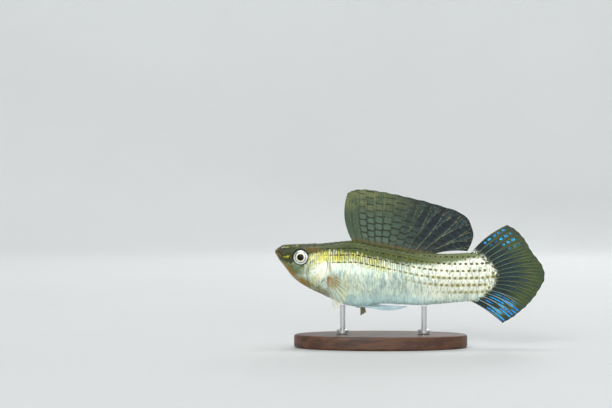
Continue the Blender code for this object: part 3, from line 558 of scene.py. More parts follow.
def scale_material():
    """Scales: the body's markings, a spot in the middle, growth rings and a dark rim."""
    made, tree, shader = new_material("scale_finish", 0.27, coat_weight=0.15, coat_roughness=0.12,
                                      specular_ior_level=0.35)
    x, high, tone = attribute(tree, "skin_place")
    behind, across, rim = attribute(tree, "scale_place")
    strength, long, gilt = attribute(tree, "scale_spot")
    back = attribute(tree, "tint")[0]
    pearl = attribute(tree, "tint_more")[1]
    # Fine vertical streaks: in the colour they are painted glints, and they also vary the roughness and the
    # relief.
    streak = noise(tree, 2600.0, 2.0, (1.0, 0.12, 0.16))
    wobble = noise(tree, 3000.0, 2.0)
    # A painted glint on the rear of each scale, stronger on some scales.
    tint, silvery = body_tint(tree, x, behind.smooth(0.16, 0.42) * (0.6 + tone * 0.4), streak)
    tint = shaded(tint, 0.92 + tone * 0.16)
    line = 0.35 + back * 0.4 + x.smooth(40.0, 52.0) * 0.25 - pearl * x.smooth(24.0, 18.0) * 0.27
    away = (behind * behind / (long * long) + across * across / (high * high)).math("SQRT")
    spot = (away + wobble * 1.4).smooth(1.95, 1.5) * strength
    halo = (away + wobble).smooth(3.0, 1.4) * strength * gilt * 0.6
    tint = layered(tint, (rim.smooth(0.66, 0.98) * line, shaded(tint, 0.3)), (halo, GOLD),
                   (spot, mixed(gilt, SPOT_DARK, SPOT_GOLD)))
    plug(shader.inputs["Base Color"], tint)
    plug(shader.inputs["Metallic"], silvery * (1.0 - spot) * 0.45)
    plug(shader.inputs["Roughness"], 0.25 + streak * 0.2)
    radius = (behind * behind + across * across).math("SQRT")
    rings = (radius * 95.0).math("SINE") * 0.5 + 0.5
    bumped(shader, rings * 0.12 + streak * 0.88, 0.035, 0.5)
    return made


# ---- meshes ----

def new_piece(name, points, faces, material, vectors, replaced=(), sharp=None):
    """A shown mesh from points of fish space, riding on the one body, with named vector attributes."""
    mesh = bpy.data.meshes.new(name)
    mesh.from_pydata(in_frame(points).tolist(), [], faces)
    for key, values in vectors.items():
        layer = mesh.attributes.new(key, "FLOAT_VECTOR", "POINT")
        layer.data.foreach_set("vector", np.asarray(values, np.float32).ravel())
    mesh.materials.append(material)
    mesh.shade_smooth()
    if sharp:
        mesh.set_sharp_from_angle(angle=math.radians(sharp))
    mesh.validate()
    obj = bpy.data.objects.new(name, mesh)
    bpy.context.scene.collection.objects.link(obj)
    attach(obj, "root")
    if replaced:
        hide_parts(*replaced)
    return obj


def mended(mesh, merge=0.0, outward=True):
    """Merges points that meet, and turns the faces outward."""
    shape = bmesh.new()
    shape.from_mesh(mesh)
    if merge:
        bmesh.ops.remove_doubles(shape, verts=shape.verts, dist=merge)
    if outward:
        bmesh.ops.recalc_face_normals(shape, faces=shape.faces)
    shape.to_mesh(mesh)
    shape.free()


def ring_faces(levels, count):
    """Faces between closed rings of count points each."""
    k, j = np.meshgrid(np.arange(levels - 1), np.arange(count), indexing="ij")
    a, b = k * count + j, k * count + (j + 1) % count
    return np.stack([a, b, b + count, a + count], axis=-1).reshape(-1, 4).tolist()


def sheet_faces(rows, columns):
    """Faces of a sheet of rows by columns of points."""
    i, j = np.meshgrid(np.arange(rows - 1), np.arange(columns - 1), indexing="ij")
    a = i * columns + j
    return np.stack([a, a + 1, a + columns + 1, a + columns], axis=-1).reshape(-1, 4)


def line_distance(x, z, start, end):
    """Signed distance from a straight line, above it positive, and the share along it."""
    way = np.array(end) - np.array(start)
    length = np.linalg.norm(way)
    way = way / length
    dx, dz = x - start[0], z - start[1]
    return dz * way[0] - dx * way[1], (dx * way[0] + dz * way[1]) / length


def path_distance(x, z, path):
    """Distance from a path of straight lengths."""
    best = np.full(np.shape(x), 1e9)
    for start, end in zip(path, path[1:]):
        across, share = line_distance(x, z, start, end)
        beyond = np.maximum(0.0, np.maximum(-share, share - 1)) * math.dist(start, end)
        best = np.minimum(best, np.hypot(across, beyond))
    return best


def head_relief(points):
    """How far the head's features lift the skin, the painted shade in their creases and pits, and the small
    dark pores.
    """
    x, z = points[..., 0], points[..., 2]
    ahead = x < 20.0
    # The lips, the line of the mouth and its corner, with painted shade in the mouth's line and in the lip's
    # fold.
    across, share = line_distance(x, z, MOUTH_FRONT, MOUTH_CORNER)
    wide = (1 - smooth(share, 0.8, 1.12)) * smooth(share, -1.2, -0.4) * ahead
    lips = bell(across - 0.34, 0.19) + 1.2 * bell(across + 0.36, 0.22)
    gape = bell(across, 0.085)
    lift = wide * (0.2 * lips - 0.28 * gape)
    dark = wide * gape
    lift = lift - 0.12 * np.exp(-(((x - 3.1) / 0.28) ** 2 + ((z - 6.2) / 0.28) ** 2))
    fold = bell(path_distance(x, z, LIP_FOLD), 0.12)
    lift = lift - 0.09 * fold
    dark = np.maximum(dark, 0.45 * fold)
    lift = lift - 0.06 * (bell(path_distance(x, z, JAW_LINE), 0.14) * ahead)
    # The nostrils, with painted shade in their pits.
    for place in NOSTRILS:
        away = np.hypot(x - place[0], z - place[1])
        lift = lift - 0.16 * (1 - smooth(away, 0.06, NOSTRIL_RADIUS)) * ahead
        lift = lift + 0.03 * bell(away - 1.5 * NOSTRIL_RADIUS, 0.09) * ahead
        dark = np.maximum(dark, 0.9 * (1 - smooth(away, 0.08, NOSTRIL_RADIUS)) * ahead)
    # The eye's socket, with a raised rim, a brow and a ring of painted shade round it that is widest under
    # the brow.
    away = np.hypot(x - EYE_PLACE[0], z - EYE_PLACE[1])
    lift = lift - 1.1 * (1 - smooth(away, EYE_RADIUS - 0.4, EYE_RADIUS + 0.13))
    lift = lift + 0.12 * bell(away - EYE_RADIUS - 0.34, 0.2)
    brow = smooth((z - EYE_PLACE[1]) - 0.6 * (x - EYE_PLACE[0]), 0.2, 2.2)
    lift = lift + 0.1 * brow * bell(away - EYE_RADIUS - 0.45, 0.35)
    dark = np.maximum(dark, 0.85 * (1 - smooth(away, EYE_RADIUS - 0.05, EYE_RADIUS + 0.22 + 0.25 * brow)))
    # The front edge of the gill cover with painted shade in its crease, the throat's folds and the root of
    # the pectoral fin.
    cover = path_distance(x, z, GILL_COVER_FRONT)
    lift = lift - 0.1 * bell(cover, 0.16) * ahead
    lift = lift + 0.07 * bell(cover - 0.42, 0.25) * ahead
    dark = np.maximum(dark, 0.4 * bell(cover, 0.14) * ahead)
    height = z - belly_at(x)
    lift = lift + 0.05 * blob(x, height, (11.0, 0.8), (4.5, 1.9)) * np.sin(height * 9.0)
    lift = lift + PECTORAL_RISE * blob(x, z, PECTORAL_BASE, PECTORAL_SWELL)
    speck = np.zeros(np.shape(x))
    for px, pz, size in PORES:
        speck = np.maximum(speck, np.exp(-(((x - px) ** 2 + (z - pz) ** 2) / size**2)) * ahead)
    return lift, dark, speck


def head_flecks(points):
    """Small bright marks on the head: (white, yellow, blue)."""
    x, z = points[..., 0], points[..., 2]
    draw = np.random.default_rng(11)
    found = np.zeros((*x.shape, 3))
    ahead = x < 18.0
    for kind, count, (x0, x1), (z0, z1), long, wide, lean in FLECKS:
        for _ in range(count):
            px, pz = draw.uniform(x0, x1), draw.uniform(z0, z1)
            if kind != 2:
                pz += FLECK_RISE * (px - x0)
            turn = math.radians(draw.normal(lean, 25.0))
            size = draw.uniform(0.6, 1.3)
            dx, dz = x - px, z - pz
            forth = (dx * math.cos(turn) + dz * math.sin(turn)) / (long * size)
            across = (dz * math.cos(turn) - dx * math.sin(turn)) / (wide * size)
            mark = np.exp(-((forth**2 + across**2) ** 1.5)) * draw.uniform(0.5, 1.0)
            found[..., kind] = np.maximum(found[..., kind], mark * ahead)
    return found


def make_skin():
    """One skin over the head, jaw, gill covers, trunk and tail stalk."""
    turn = np.linspace(0.0, 2 * math.pi, ROUND_STEPS, endpoint=False)
    count = len(turn)
    edge, end = gill_edge(turn), stalk_end(turn)
    rings = []
    for share in np.linspace(0.0, 1.0, 9)[1:-1]:
        rings.append((np.full(count, NOSE_TIP + (SNOUT - NOSE_TIP) * share**2), 0.0 * turn))
    for share in np.linspace(0.0, 1.0, 190)[:-1]:
        x = SNOUT + (edge - SNOUT) * share
        rings.append((x, GILL_FLARE * np.maximum(0.0, 1 - (edge - x) / GILL_FLARE_LENGTH) ** 2))
    for offset, swell in GILL_SLIT:
        rings.append((edge + offset, np.full(count, swell)))
    for share in np.linspace(0.0, 1.0, 170)[1:]:
        rings.append((edge + 1.0 + (end - edge - 1.0) * share, 0.0 * turn))
    x, swell = np.array(rings).transpose(1, 0, 2)
    turns = np.broadcast_to(turn, x.shape)
    points = skin_at(x, turns)
    out = facing(np.maximum(x, SNOUT), turns)
    lift, dark, speck = head_relief(points)
    swell = swell * slit_depth(points[..., 2], turns)
    # Painted shade in the gill slit.
    dark = np.maximum(dark, smooth(-swell, 0.02, 0.3) * 0.8)
    arc = between(ARC, TABLE_TURN, np.maximum(x, SNOUT), np.minimum(turns, 2 * math.pi - turns))
    tint, more = markings(points, arc)
    rise = lift * smooth(x, NOSE_TIP, SNOUT) + swell
    points = points + out * (rise - SKIN_INSET * smooth(x, 9.0, 16.0))[..., None]
    # The rear end closes to an edge between the tail fin's root rays.
    closing = []
    for angle in (30.0, 60.0, 90.0):
        a = math.radians(angle)
        ring = points[-1].copy()
        ring[:, 0] += 0.35 * math.sin(a)
        ring[:, 1] *= max(math.cos(a), 1e-4)
        closing.append(ring)
    points = np.concatenate([points, closing])
    dark, speck, tint, more = (np.concatenate([kept, kept[-1:].repeat(len(closing), 0)])
                               for kept in (dark, speck, tint, more))
    vectors = {"skin_place": triple(points[..., 0], dark, speck), "tint": tint, "tint_more": more,
               "flecks": head_flecks(points)}
    levels = len(points)
    faces = [(a, d, c, b) for a, b, c, d in ring_faces(levels, count)]
    tip = levels * count
    faces += [(tip, int(j), int((j + 1) % count)) for j in range(count)]
    last = (levels - 1) * count
    for j in range(count // 2):
        face = dict.fromkeys((j, j + 1, (count - j - 1) % count, (count - j) % count))
        faces.append([last + v for v in reversed(face)])
    tip_point = [[NOSE_TIP, 0.0, (BACK[0][1] + BELLY[0][1]) / 2 + 0.05]]
    new_piece("skin", np.concatenate([points.reshape(-1, 3), tip_point]), faces, skin_material(),
              {key: np.concatenate([kept.reshape(-1, 3), kept[0, :1]]) for key, kept in vectors.items()},
              ("head", "lower_jaw", "gill_cover_left", "gill_cover_right", "trunk", "tail_stalk"))


def middle_scales():
    """The scales along the back's and the belly's middle lines, as in scale_rows."""
    found = []
    for j in range(40):
        x = FIRST_SCALE + SCALE_PITCH * j
        if x > STALK_CORNER + 0.4:
            break
        spacing, girth = float(spacing_at(x)), float(girth_at(x))
        found.append((x, 0, 0.0, 1.1, 1.0, 0.0))
        rows_here = max(0, math.floor(girth / spacing - FIRST_ROW + 0.65))
        rim = (FIRST_ROW + rows_here - 0.5) * spacing
        if x > 15.5:
            found.append((x, -1, girth, min(max(girth - rim + 0.4, 0.7), 1.8), 1.0, 0.0))
    return found


def scale_rows():
    """Each scale of one side: (rear x, row, arc, half-width, size, share of the spot)."""
    found = []
    for row in range(1, 13):
        for j in range(40):
            x = FIRST_SCALE + SCALE_PITCH * (j + 0.5 * (row % 2))
            if x > LAST_SCALE:
                continue
            spacing, girth = float(spacing_at(x)), float(girth_at(min(x, BODY_END)))
            arc = float(row_arc(row, x))
            if arc > girth - 0.35 * spacing:
                continue
            middle = x - MIDDLE_AHEAD
            turn = float(turn_at(np.array(middle), np.array(arc)))
            z = float(skin_at(middle, turn)[2])
            edge = float(gill_edge(turn))
            past_end = x > float(stalk_end(turn)) + 0.2 or x < HEAD_ROW_STARTS[min(row, 3)]
            in_slit = z < SLIT_TOP and edge - 0.15 < x < edge + 0.9
            at_fin = math.hypot(middle - PECTORAL_BASE[0], z - PECTORAL_BASE[1]) < PECTORAL_BARE
            if past_end or in_slit or at_fin:
                continue
            if z < SLIT_TOP and x < edge:
                if x > COVER_SCALES_START and z > belly_at(x) + 2.4:
                    found.append((x, row, arc, spacing * 0.55, COVER_SIZE, 0.0))
                continue
            found.append((x, row, arc, spacing * 0.6, 1.0, 1.0))
    # Two columns of small scales on the root of the tail fin.
    for half_row in range(2, 16):
        row = half_row / 2
        for j in range(2):
            arc = float(row_arc(row, TAIL_ROOT_X))
            turn = float(turn_at(np.array(TAIL_ROOT_X), np.array(min(arc, GIRTH[-1]))))
            if arc < GIRTH[-1] - 0.6 and abs(math.sin(turn)) > 0.3:
                x = float(stalk_end(turn)) + 0.2 + 0.55 * j + 0.25 * (half_row % 2)
                found.append((x, row, arc, 0.62, SMALL_SIZE, float((3 * half_row + 5 * j) % 4 < 2)))
    return found


def make_scales(name, side, material, draw):
    """Overlapping plates, each rising to a rounded rear edge, as one joined mesh."""
    specs = scale_rows() if side else middle_scales()
    rear, rows, arcs, half, size, spotted = np.array(specs).T
    size = size[:, None, None]
    u, w = np.meshgrid(SCALE_STEPS, SCALE_SIDES, indexing="ij")
    u, w = np.concatenate([u, u[-1:]]), np.concatenate([w, w[-1:]])
    shape = (len(specs), *u.shape)
    local_x = (-SCALE_LENGTH + u * (SCALE_LENGTH * (1 - 0.36 * np.abs(w) ** 2.3))) * size
    x = rear[:, None, None] + local_x
    x = x + draw.normal(0.0, 0.03, len(specs))[:, None, None]
    across = half[:, None, None] * w * (0.86 + 0.14 * np.sin(np.clip(u, 0, 1) * math.pi * 0.75))
    arc = np.empty(shape)
    for i, row in enumerate(rows):
        if row == -1:
            arc[i] = girth_at(x[i]) + across[i]
        else:
            arc[i] = (row_arc(row, x[i]) + across[i]) * (1.0 if row == 0 else -side)
    # Scales behind the gill slit start at its rear edge.
    x = np.clip(x, 4.5, 68.5)
    turn = turn_at(np.minimum(x, BODY_END), arc)
    edge = gill_edge(turn)
    on_trunk = rear[:, None, None] > edge
    hidden = (skin_at(x, turn)[..., 2] < SLIT_TOP) & (x < edge + SLIT_REAR) & on_trunk
    x = np.where(hidden, edge + SLIT_REAR, x)
    turn = turn_at(np.minimum(x, BODY_END), arc)
    base = skin_at(x, turn)
    out = facing(np.minimum(x, BODY_END), turn)
    past = x - stalk_end(turn)
    fin_half = side * np.clip(0.44 - 0.11 * past, 0.12, 0.44) if side else 0.0
    base[..., 1] += (fin_half - base[..., 1]) * smooth(past, 0.0, 1.0) * abs(side)
    rise = (SCALE_LIFT + SCALE_SINK) * u**1.15 - 0.04 * np.abs(w) ** 2
    rise[-1] = SCALE_SINK - 0.1
    jitter = 1 + 0.12 * draw.normal(0.0, 1.0, len(specs)).clip(-1.5, 1.5)
    flat = smooth(rear, 7.0, 14.0) * 0.7 + 0.3
    flat = flat * np.where(rows <= 0, 0.6, 1.0) * np.where(size[:, 0, 0] == COVER_SIZE, 0.6, 1.0)
    rise = rise[None] * (jitter * flat)[:, None, None] - SCALE_SINK
    rise = rise - SKIN_INSET * smooth(x, 9.0, 16.0)
    tilt = draw.normal(0.0, 0.012, len(specs))[:, None, None] * w
    bulge = PECTORAL_RISE * blob(base[..., 0], base[..., 2], PECTORAL_BASE, PECTORAL_SWELL)
    flare = GILL_FLARE * np.maximum(0.0, 1 - np.abs(edge - x) / GILL_FLARE_LENGTH) ** 2
    bulge = bulge + np.where(on_trunk, 0.0, flare * slit_depth(base[..., 2], turn))
    points = base + out * (rise + tilt + bulge)[..., None]
    # What the material needs to know of each scale.
    tint, more = markings(base, arc)
    behind = local_x + 0.5 * SCALE_PITCH * size + 0.05
    rim = np.maximum(np.abs(w) ** 3, u**6)
    tone = draw.random(len(specs))[:, None, None]
    strength = np.array([np.interp(r, *np.array(SPOT_SHARE[int(row)]).T) if 0 <= row < 8 else 0.0
                         for r, row in zip(rear, rows)])
    strength = strength * draw.uniform(0.85, 1.0, len(specs)) * spotted
    places = [14.0, 34.0, 46.0, 62.0]
    long = np.interp(rear, places, [0.72, 0.68, 0.48, 0.46]) * draw.uniform(0.8, 1.15, len(specs))
    gilt = smooth(rear, 32.0, 46.0) * np.interp(rows, [1.0, 2.0, 3.0, 4.0, 5.0], [0.0, 0.15, 0.35, 0.65, 0.9])
    gilt = np.clip(gilt + draw.uniform(-0.2, 0.25, len(specs)), 0, 1)
    spots = np.broadcast_to(triple(strength, long, gilt)[:, None, None], (*shape, 3))
    high = np.interp(rear, places, [0.21, 0.22, 0.3, 0.38])[:, None, None]
    vectors = {"skin_place": triple(x, high, tone), "tint": tint, "tint_more": more,
               "flecks": head_flecks(base), "scale_place": triple(behind, across, rim), "scale_spot": spots}
    one = sheet_faces(*u.shape)
    if side != RIGHT:
        one = one[:, ::-1]
    faces = (one[None] + (np.arange(len(specs)) * u.size)[:, None, None]).reshape(-1, 4).tolist()
    piece = new_piece(name, points.reshape(-1, 3), faces, material, vectors, sharp=50.0)
    # Each scale's patch lies at its root's place on the unwrapped skin.
    root_x = rear - 0.5 * SCALE_PITCH
    sign = -side if side else 1.0
    patch_u = root_x[:, None, None] + (local_x + 0.5 * SCALE_PITCH) * (0.88 * SCALE_PITCH / SCALE_LENGTH)
    patch_v = sign * arcs[:, None, None] + across * 0.8
    place = np.stack([patch_u / SHEET_LENGTH, 0.5 + patch_v / SHEET_BREADTH], axis=-1).reshape(-1, 2)
    layer = piece.data.uv_layers.new(name="OFBake")
    corners = np.zeros(len(piece.data.loops), np.int32)
    piece.data.loops.foreach_get("vertex_index", corners)
    layer.data.foreach_set("uv", place[corners].astype(np.float32).ravel())


def make_eye(name, side, material):
    """An eye turned round its own axis: a domed pupil, an iris that slopes to a dark rim, and the ball."""
    x, z = EYE_PLACE
    centre = np.array((x, side * side_at(x, z), z))
    out = np.array((-(side_at(x + 1.5, z) - side_at(x - 1.5, z)) / 3.0, side * 1.0, EYE_TILT))
    out /= np.linalg.norm(out)
    first = np.cross(out, (0.0, 0.0, 1.0))
    first /= np.linalg.norm(first)
    second = np.cross(first, out)
    profile = [(0.0, EYE_PROUD)]
    for share in np.linspace(0.0, 1.0, 8)[1:]:
        profile.append((PUPIL_RADIUS * share, EYE_PROUD - 0.16 * share**2))
    profile.append((PUPIL_RADIUS + 0.03, EYE_PROUD - 0.2))
    for share in np.linspace(0.0, 1.0, 12)[1:]:
        radius = PUPIL_RADIUS + 0.05 + (IRIS_RADIUS - PUPIL_RADIUS - 0.05) * share
        profile.append((radius, EYE_PROUD - 0.21 - 0.22 * share**2.2))
    profile += [(IRIS_RADIUS + 0.08, 0.06), (EYE_RADIUS, -0.06), (EYE_RADIUS + 0.03, -0.25),
                (EYE_RADIUS - 0.16, -0.7), (1.3, -1.1), (0.0, -1.25)]
    count = 72
    turns = np.linspace(0.0, 2 * math.pi, count, endpoint=False)
    c, s = np.cos(turns), np.sin(turns)
    radius, height = np.array(profile).T[..., None]
    points = centre + out * height[..., None] + radius[..., None] * (c[:, None] * first + s[:, None] * second)
    piece = new_piece(name, points.reshape(-1, 3), ring_faces(len(profile), count), material,
                      {"eye_place": triple(radius, c * radius, s * radius)}, (name,), sharp=70.0)
    mended(piece.data, 1e-7)


def eye_material():
    made, tree, shader = new_material("eye_finish", 0.2, coat_weight=0.06, coat_roughness=0.02,
                                      specular_ior_level=0.15)
    radius, level, height = attribute(tree, "eye_place")
    streaks = noise(tree, 2400.0, 3.0)
    ring = (radius - 1.46 - streaks * 0.24).math("ABSOLUTE").smooth(0.19, 0.08)
    rim = (radius + streaks * 0.12).smooth(IRIS_RADIUS - 0.05, IRIS_RADIUS + 0.1)
    pupil = radius.smooth(PUPIL_RADIUS + 0.04, PUPIL_RADIUS + 0.005)
    # Painted shade darkens the iris towards its top and a little to one side.
    iris = layered(mixed(streaks.smooth(0.35, 0.7), rgb(206, 214, 208), rgb(246, 248, 240)),
                   ((height + 0.4 * level).smooth(0.7, 1.75) * 0.35, rgb(112, 122, 118)),
                   (ring * (0.6 + streaks.smooth(0.4, 0.6) * 0.35), rgb(58, 68, 74)),
                   (radius.smooth(PUPIL_RADIUS + 0.4, PUPIL_RADIUS + 0.1) * 0.75, rgb(214, 204, 112)),
                   (rim, rgb(40, 42, 28)), (pupil, rgb(6, 7, 11)))
    plug(shader.inputs["Base Color"], iris)
    plug(shader.inputs["Metallic"], (1.0 - pupil) * (1.0 - rim) * 0.45)
    bumped(shader, streaks, 0.03, 0.3)
    return made


# ---- fins ----

WEB_HALF = 0.08
RAY_HALF = 0.1
TIP_HALF = 0.04
FORK_END = 0.9
FORK_SPREAD = 0.25
SECOND_FORK = 0.35
SECOND_END = 1.05
SECOND_SPREAD = 0.12
# How far the rays' tips lie from the margin, and how far the web falls back between them.
TIP_REACH = (-0.008, 0.003)
WEB_NOTCH = 0.01
FIN_ROOT_SUNK = 0.1
PELVIC_ROOT_Y = 1.5


def bent_line(root, tip, guide, out):
    """Points along the bent rays: root, tip and guide are (columns, 3), out is (columns, rows)."""
    root, tip, guide = root[:, None], tip[:, None], guide[:, None]
    out = out[..., None]
    return (1 - out) ** 2 * root + 2 * out * (1 - out) * guide + out**2 * tip


def rippled(points, out, angle):
    """Points with the soft sideways wave of a spread fin."""
    points[..., 1] += 0.5 * np.clip(out, 0, 1) ** 1.5 * np.sin(angle)
    return points


def fin_mesh(name, lines, count, per_space, rows, material, node, ray_half=RAY_HALF, root_half=0.4,
             fork=0.42, sink=0.04, web_half=WEB_HALF, seed=1):
    """A fin with count rays, forked towards their tips, with thin webs between them."""
    ray = np.linspace(0.0, count - 1.0, (count - 1) * per_space + 1)
    ray_reach = np.random.default_rng(seed).uniform(*TIP_REACH, count)
    near = np.abs(ray - np.round(ray))
    reach = 1 + np.interp(ray, np.arange(count), ray_reach) - WEB_NOTCH * np.sin(math.pi * near) ** 2
    steps = np.linspace(-sink, 1.0, rows)
    out = np.where(steps[None] > 0, steps[None] * reach[:, None], steps[None])
    middle = lines(ray / (count - 1), out)
    normal = np.cross(np.gradient(middle, axis=1), np.gradient(middle, axis=0))
    normal /= np.linalg.norm(normal, axis=-1, keepdims=True)
    split = FORK_SPREAD * smooth(out, fork, FORK_END)
    again = SECOND_SPREAD * smooth(out, fork + SECOND_FORK, SECOND_END)
    wide = 0.13 - 0.07 * smooth(out, 0.05, 0.8)
    ridge = bell(np.abs(np.abs(near[:, None] - split) - again), wide)
    web = np.interp(out, [-0.05, 0.0, 0.16, 0.75, 1.0], [root_half, root_half, web_half, web_half, TIP_HALF])
    half = web + ray_half * ridge * (1 - 0.72 * np.clip(out, 0, 1))
    columns = len(ray)
    length = np.cumsum(np.linalg.norm(np.diff(middle, axis=1), axis=-1), axis=1)
    length = np.concatenate([np.zeros((columns, 1)), length], axis=1)
    points = np.concatenate([(middle - normal * half[..., None]).reshape(-1, 3),
                             (middle + normal * half[..., None]).reshape(-1, 3)])
    one_side = sheet_faces(columns, rows)[:, [0, 3, 2, 1]]
    other = columns * rows
    rim = [c * rows for c in range(columns)] + [(columns - 1) * rows + r for r in range(1, rows)]
    rim += [c * rows + rows - 1 for c in range(columns - 2, -1, -1)] + [r for r in range(rows - 2, 0, -1)]
    rim = np.array(rim)
    following = np.roll(rim, -1)
    edge = np.stack([rim, rim + other, following + other, following], axis=-1)
    faces = np.concatenate([one_side, (one_side + other)[:, ::-1], edge]).tolist()
    place = triple(ray[:, None], out, length).reshape(-1, 3)
    vectors = {"fin_place": np.concatenate([place, place])}
    mended(new_piece(name, points, faces, material, vectors, (node,)).data)


def along(points, shares):
    """Points at shares of the length of a polyline."""
    points = np.array(points, float)
    lengths = np.concatenate([[0.0], np.cumsum(np.linalg.norm(np.diff(points, axis=0), axis=1))])
    return np.stack([np.interp(np.array(shares) * lengths[-1], lengths, column)
                     for column in points.T], axis=1)


def rounded(points, per_span=24):
    """A polyline that runs smoothly through a few points."""
    points = np.array(points, float)
    ends = np.concatenate([[2 * points[0] - points[1]], points, [2 * points[-1] - points[-2]]])
    found = []
    for a, b, c, d in zip(ends, ends[1:], ends[2:], ends[3:]):
        for t in np.linspace(0.0, 1.0, per_span, endpoint=False):
            found.append(0.5 * (2 * b + (c - a) * t + (2 * a - 5 * b + 4 * c - d) * t**2
                                + (3 * b - a - 3 * c + d) * t**3))
    return np.array(found + [points[-1]])


SAIL_RAYS = 14
SAIL_BASE = (23.4, 48.3)
SAIL_MARGIN = [(22.2, 25.5), (24.6, 26.3), (30.0, 26.2), (42.0, 23.7), (54.0, 20.3), (58.2, 17.6),
               (59.8, 13.6), (59.4, 10.4), (58.0, 7.85)]


def sail_lines(share, out):
    tips = along(rounded(SAIL_MARGIN), share**1.5)
    x = SAIL_BASE[0] + (SAIL_BASE[1] - SAIL_BASE[0]) * share**1.1
    root = triple(x, 0.0, back_at(x) - FIN_ROOT_SUNK)
    tip = triple(tips[:, 0], 0.0, tips[:, 1])
    bend = triple(-3.3 * (1 - share) ** 9, 0.0, 0.9 * share**2)
    points = bent_line(root, tip, (root + tip) / 2 + bend, out)
    return rippled(points, out, (points[..., 0] - SAIL_BASE[0]) * 0.21 + 0.6)


TAIL_RAYS = 18
TAIL_HUB = (56.1, 0.3)
TAIL_MARGIN = [(-48.5, 18.6), (-32.0, 20.4), (-14.0, 22.9), (1.0, 24.85), (22.0, 22.1), (38.0, 21.6),
               (48.5, 20.6)]
TAIL_ROOT_ANGLES = (-27.0, 52.0)


def tail_lines(share, out):
    turn = np.arccos(2 * share - 1)
    top, bottom = back_at(STALK_CORNER), belly_at(STALK_CORNER)
    root = triple(stalk_end(turn) + 0.05, 0.0, (top + bottom) / 2 + (top - bottom) / 2 * (2 * share - 1))
    degrees = TAIL_MARGIN[0][0] + (TAIL_MARGIN[-1][0] - TAIL_MARGIN[0][0]) * share
    reach, angle = curve_through(TAIL_MARGIN)(degrees), np.radians(degrees)
    tip = triple(TAIL_HUB[0] + reach * np.cos(angle), 0.0, TAIL_HUB[1] + reach * np.sin(angle))
    leave = np.radians(TAIL_ROOT_ANGLES[0] + (TAIL_ROOT_ANGLES[1] - TAIL_ROOT_ANGLES[0]) * share)
    half = np.linalg.norm(tip - root, axis=-1) / 2
    guide = root + half[:, None] * triple(np.cos(leave), 0.0, np.sin(leave))
    return rippled(bent_line(root, tip, guide, out), out, (5.0 * share + 0.8)[:, None])


def pectoral_lines(side):
    def lines(share, out):
        x, z = 16.7 - 0.3 * share, -0.6 - 1.9 * (share - 0.5)
        y = np.array([side_at(a, b) for a, b in zip(x, z)]) + 0.25
        root = triple(x, side * y, z)
        angle = np.radians(-22.0 - 58.0 * share)
        reach = 5.0 + 2.9 * share + 0.9 * np.sin(math.pi * share)
        spread = 4.6 - 2.4 * share
        tip = root + triple(reach * np.cos(angle), side * spread, reach * np.sin(angle))
        return bent_line(root, tip, (root + tip) / 2 + (0.0, side * 0.3, 0.25), out)
    return lines


def pelvic_lines(side, roots, angles, reaches, spreads):
    """Rays of a pelvic fin, whose angle, reach and spread change evenly from its first ray to its last."""
    def lines(share, out):
        x = roots[1] + (roots[0] - roots[1]) * share
        root = triple(x, side * PELVIC_ROOT_Y, lower_skin(x, PELVIC_ROOT_Y) - FIN_ROOT_SUNK)
        angle, reach, spread = (a + (b - a) * share for a, b in (angles, reaches, spreads))
        angle = np.radians(angle)
        tip = root + triple(reach * np.cos(angle), side * spread, reach * np.sin(angle))
        return bent_line(root, tip, (root + tip) / 2 + (0.0, 0.0, 0.1), out)
    return lines


def gonopodium_lines(share, out):
    x = 31.4 - 3.2 * share
    root = triple(x, 0.0, belly_at(x) - FIN_ROOT_SUNK)
    tip = triple(40.0 - 0.3 * share, 0.0, -8.65 - 0.35 * share)
    bend = triple(0.0, 0.0, -1.9 * (share + 0.12))
    return bent_line(root, tip, (root + tip) / 2 + bend, out)


def ray_lines(ray, out, fork=0.42):
    """How far a point lies from the nearest fork of a ray, and from the ray itself, in ray spaces."""
    aside = (ray - ray.math("ROUND")).math("ABSOLUTE")
    split = out.smooth(fork, FORK_END) * FORK_SPREAD
    again = out.smooth(fork + SECOND_FORK, SECOND_END) * SECOND_SPREAD
    return ((aside - split).math("ABSOLUTE") - again).math("ABSOLUTE"), aside


def dark_fin_material(name):
    """What the sail and the tail fin start from: the material, its shader, the fin's place and two noises."""
    made, tree, shader = new_material(name, 0.42, coat_weight=0.08, coat_roughness=0.2,
                                      specular_ior_level=0.25)
    return made, shader, attribute(tree, "fin_place"), noise(tree, 420.0, 2.0), noise(tree, 1500.0, 3.0)


def finish_fin(shader, web, dull, opaque, length, streak, fine, bump=(15.0, 0.5, 0.02, 0.5)):
    """Plugs a fin's colour, its alpha and the joints of its rays."""
    often, grainy, depth, strength = bump
    plug(shader.inputs["Base Color"], shaded(web, dull + fine * 0.4))
    plug(shader.inputs["Alpha"], opaque)
    joints = (length * often).math("SINE") * 0.5 + 0.5
    bumped(shader, joints * streak * 0.6 + fine * grainy, depth, strength)


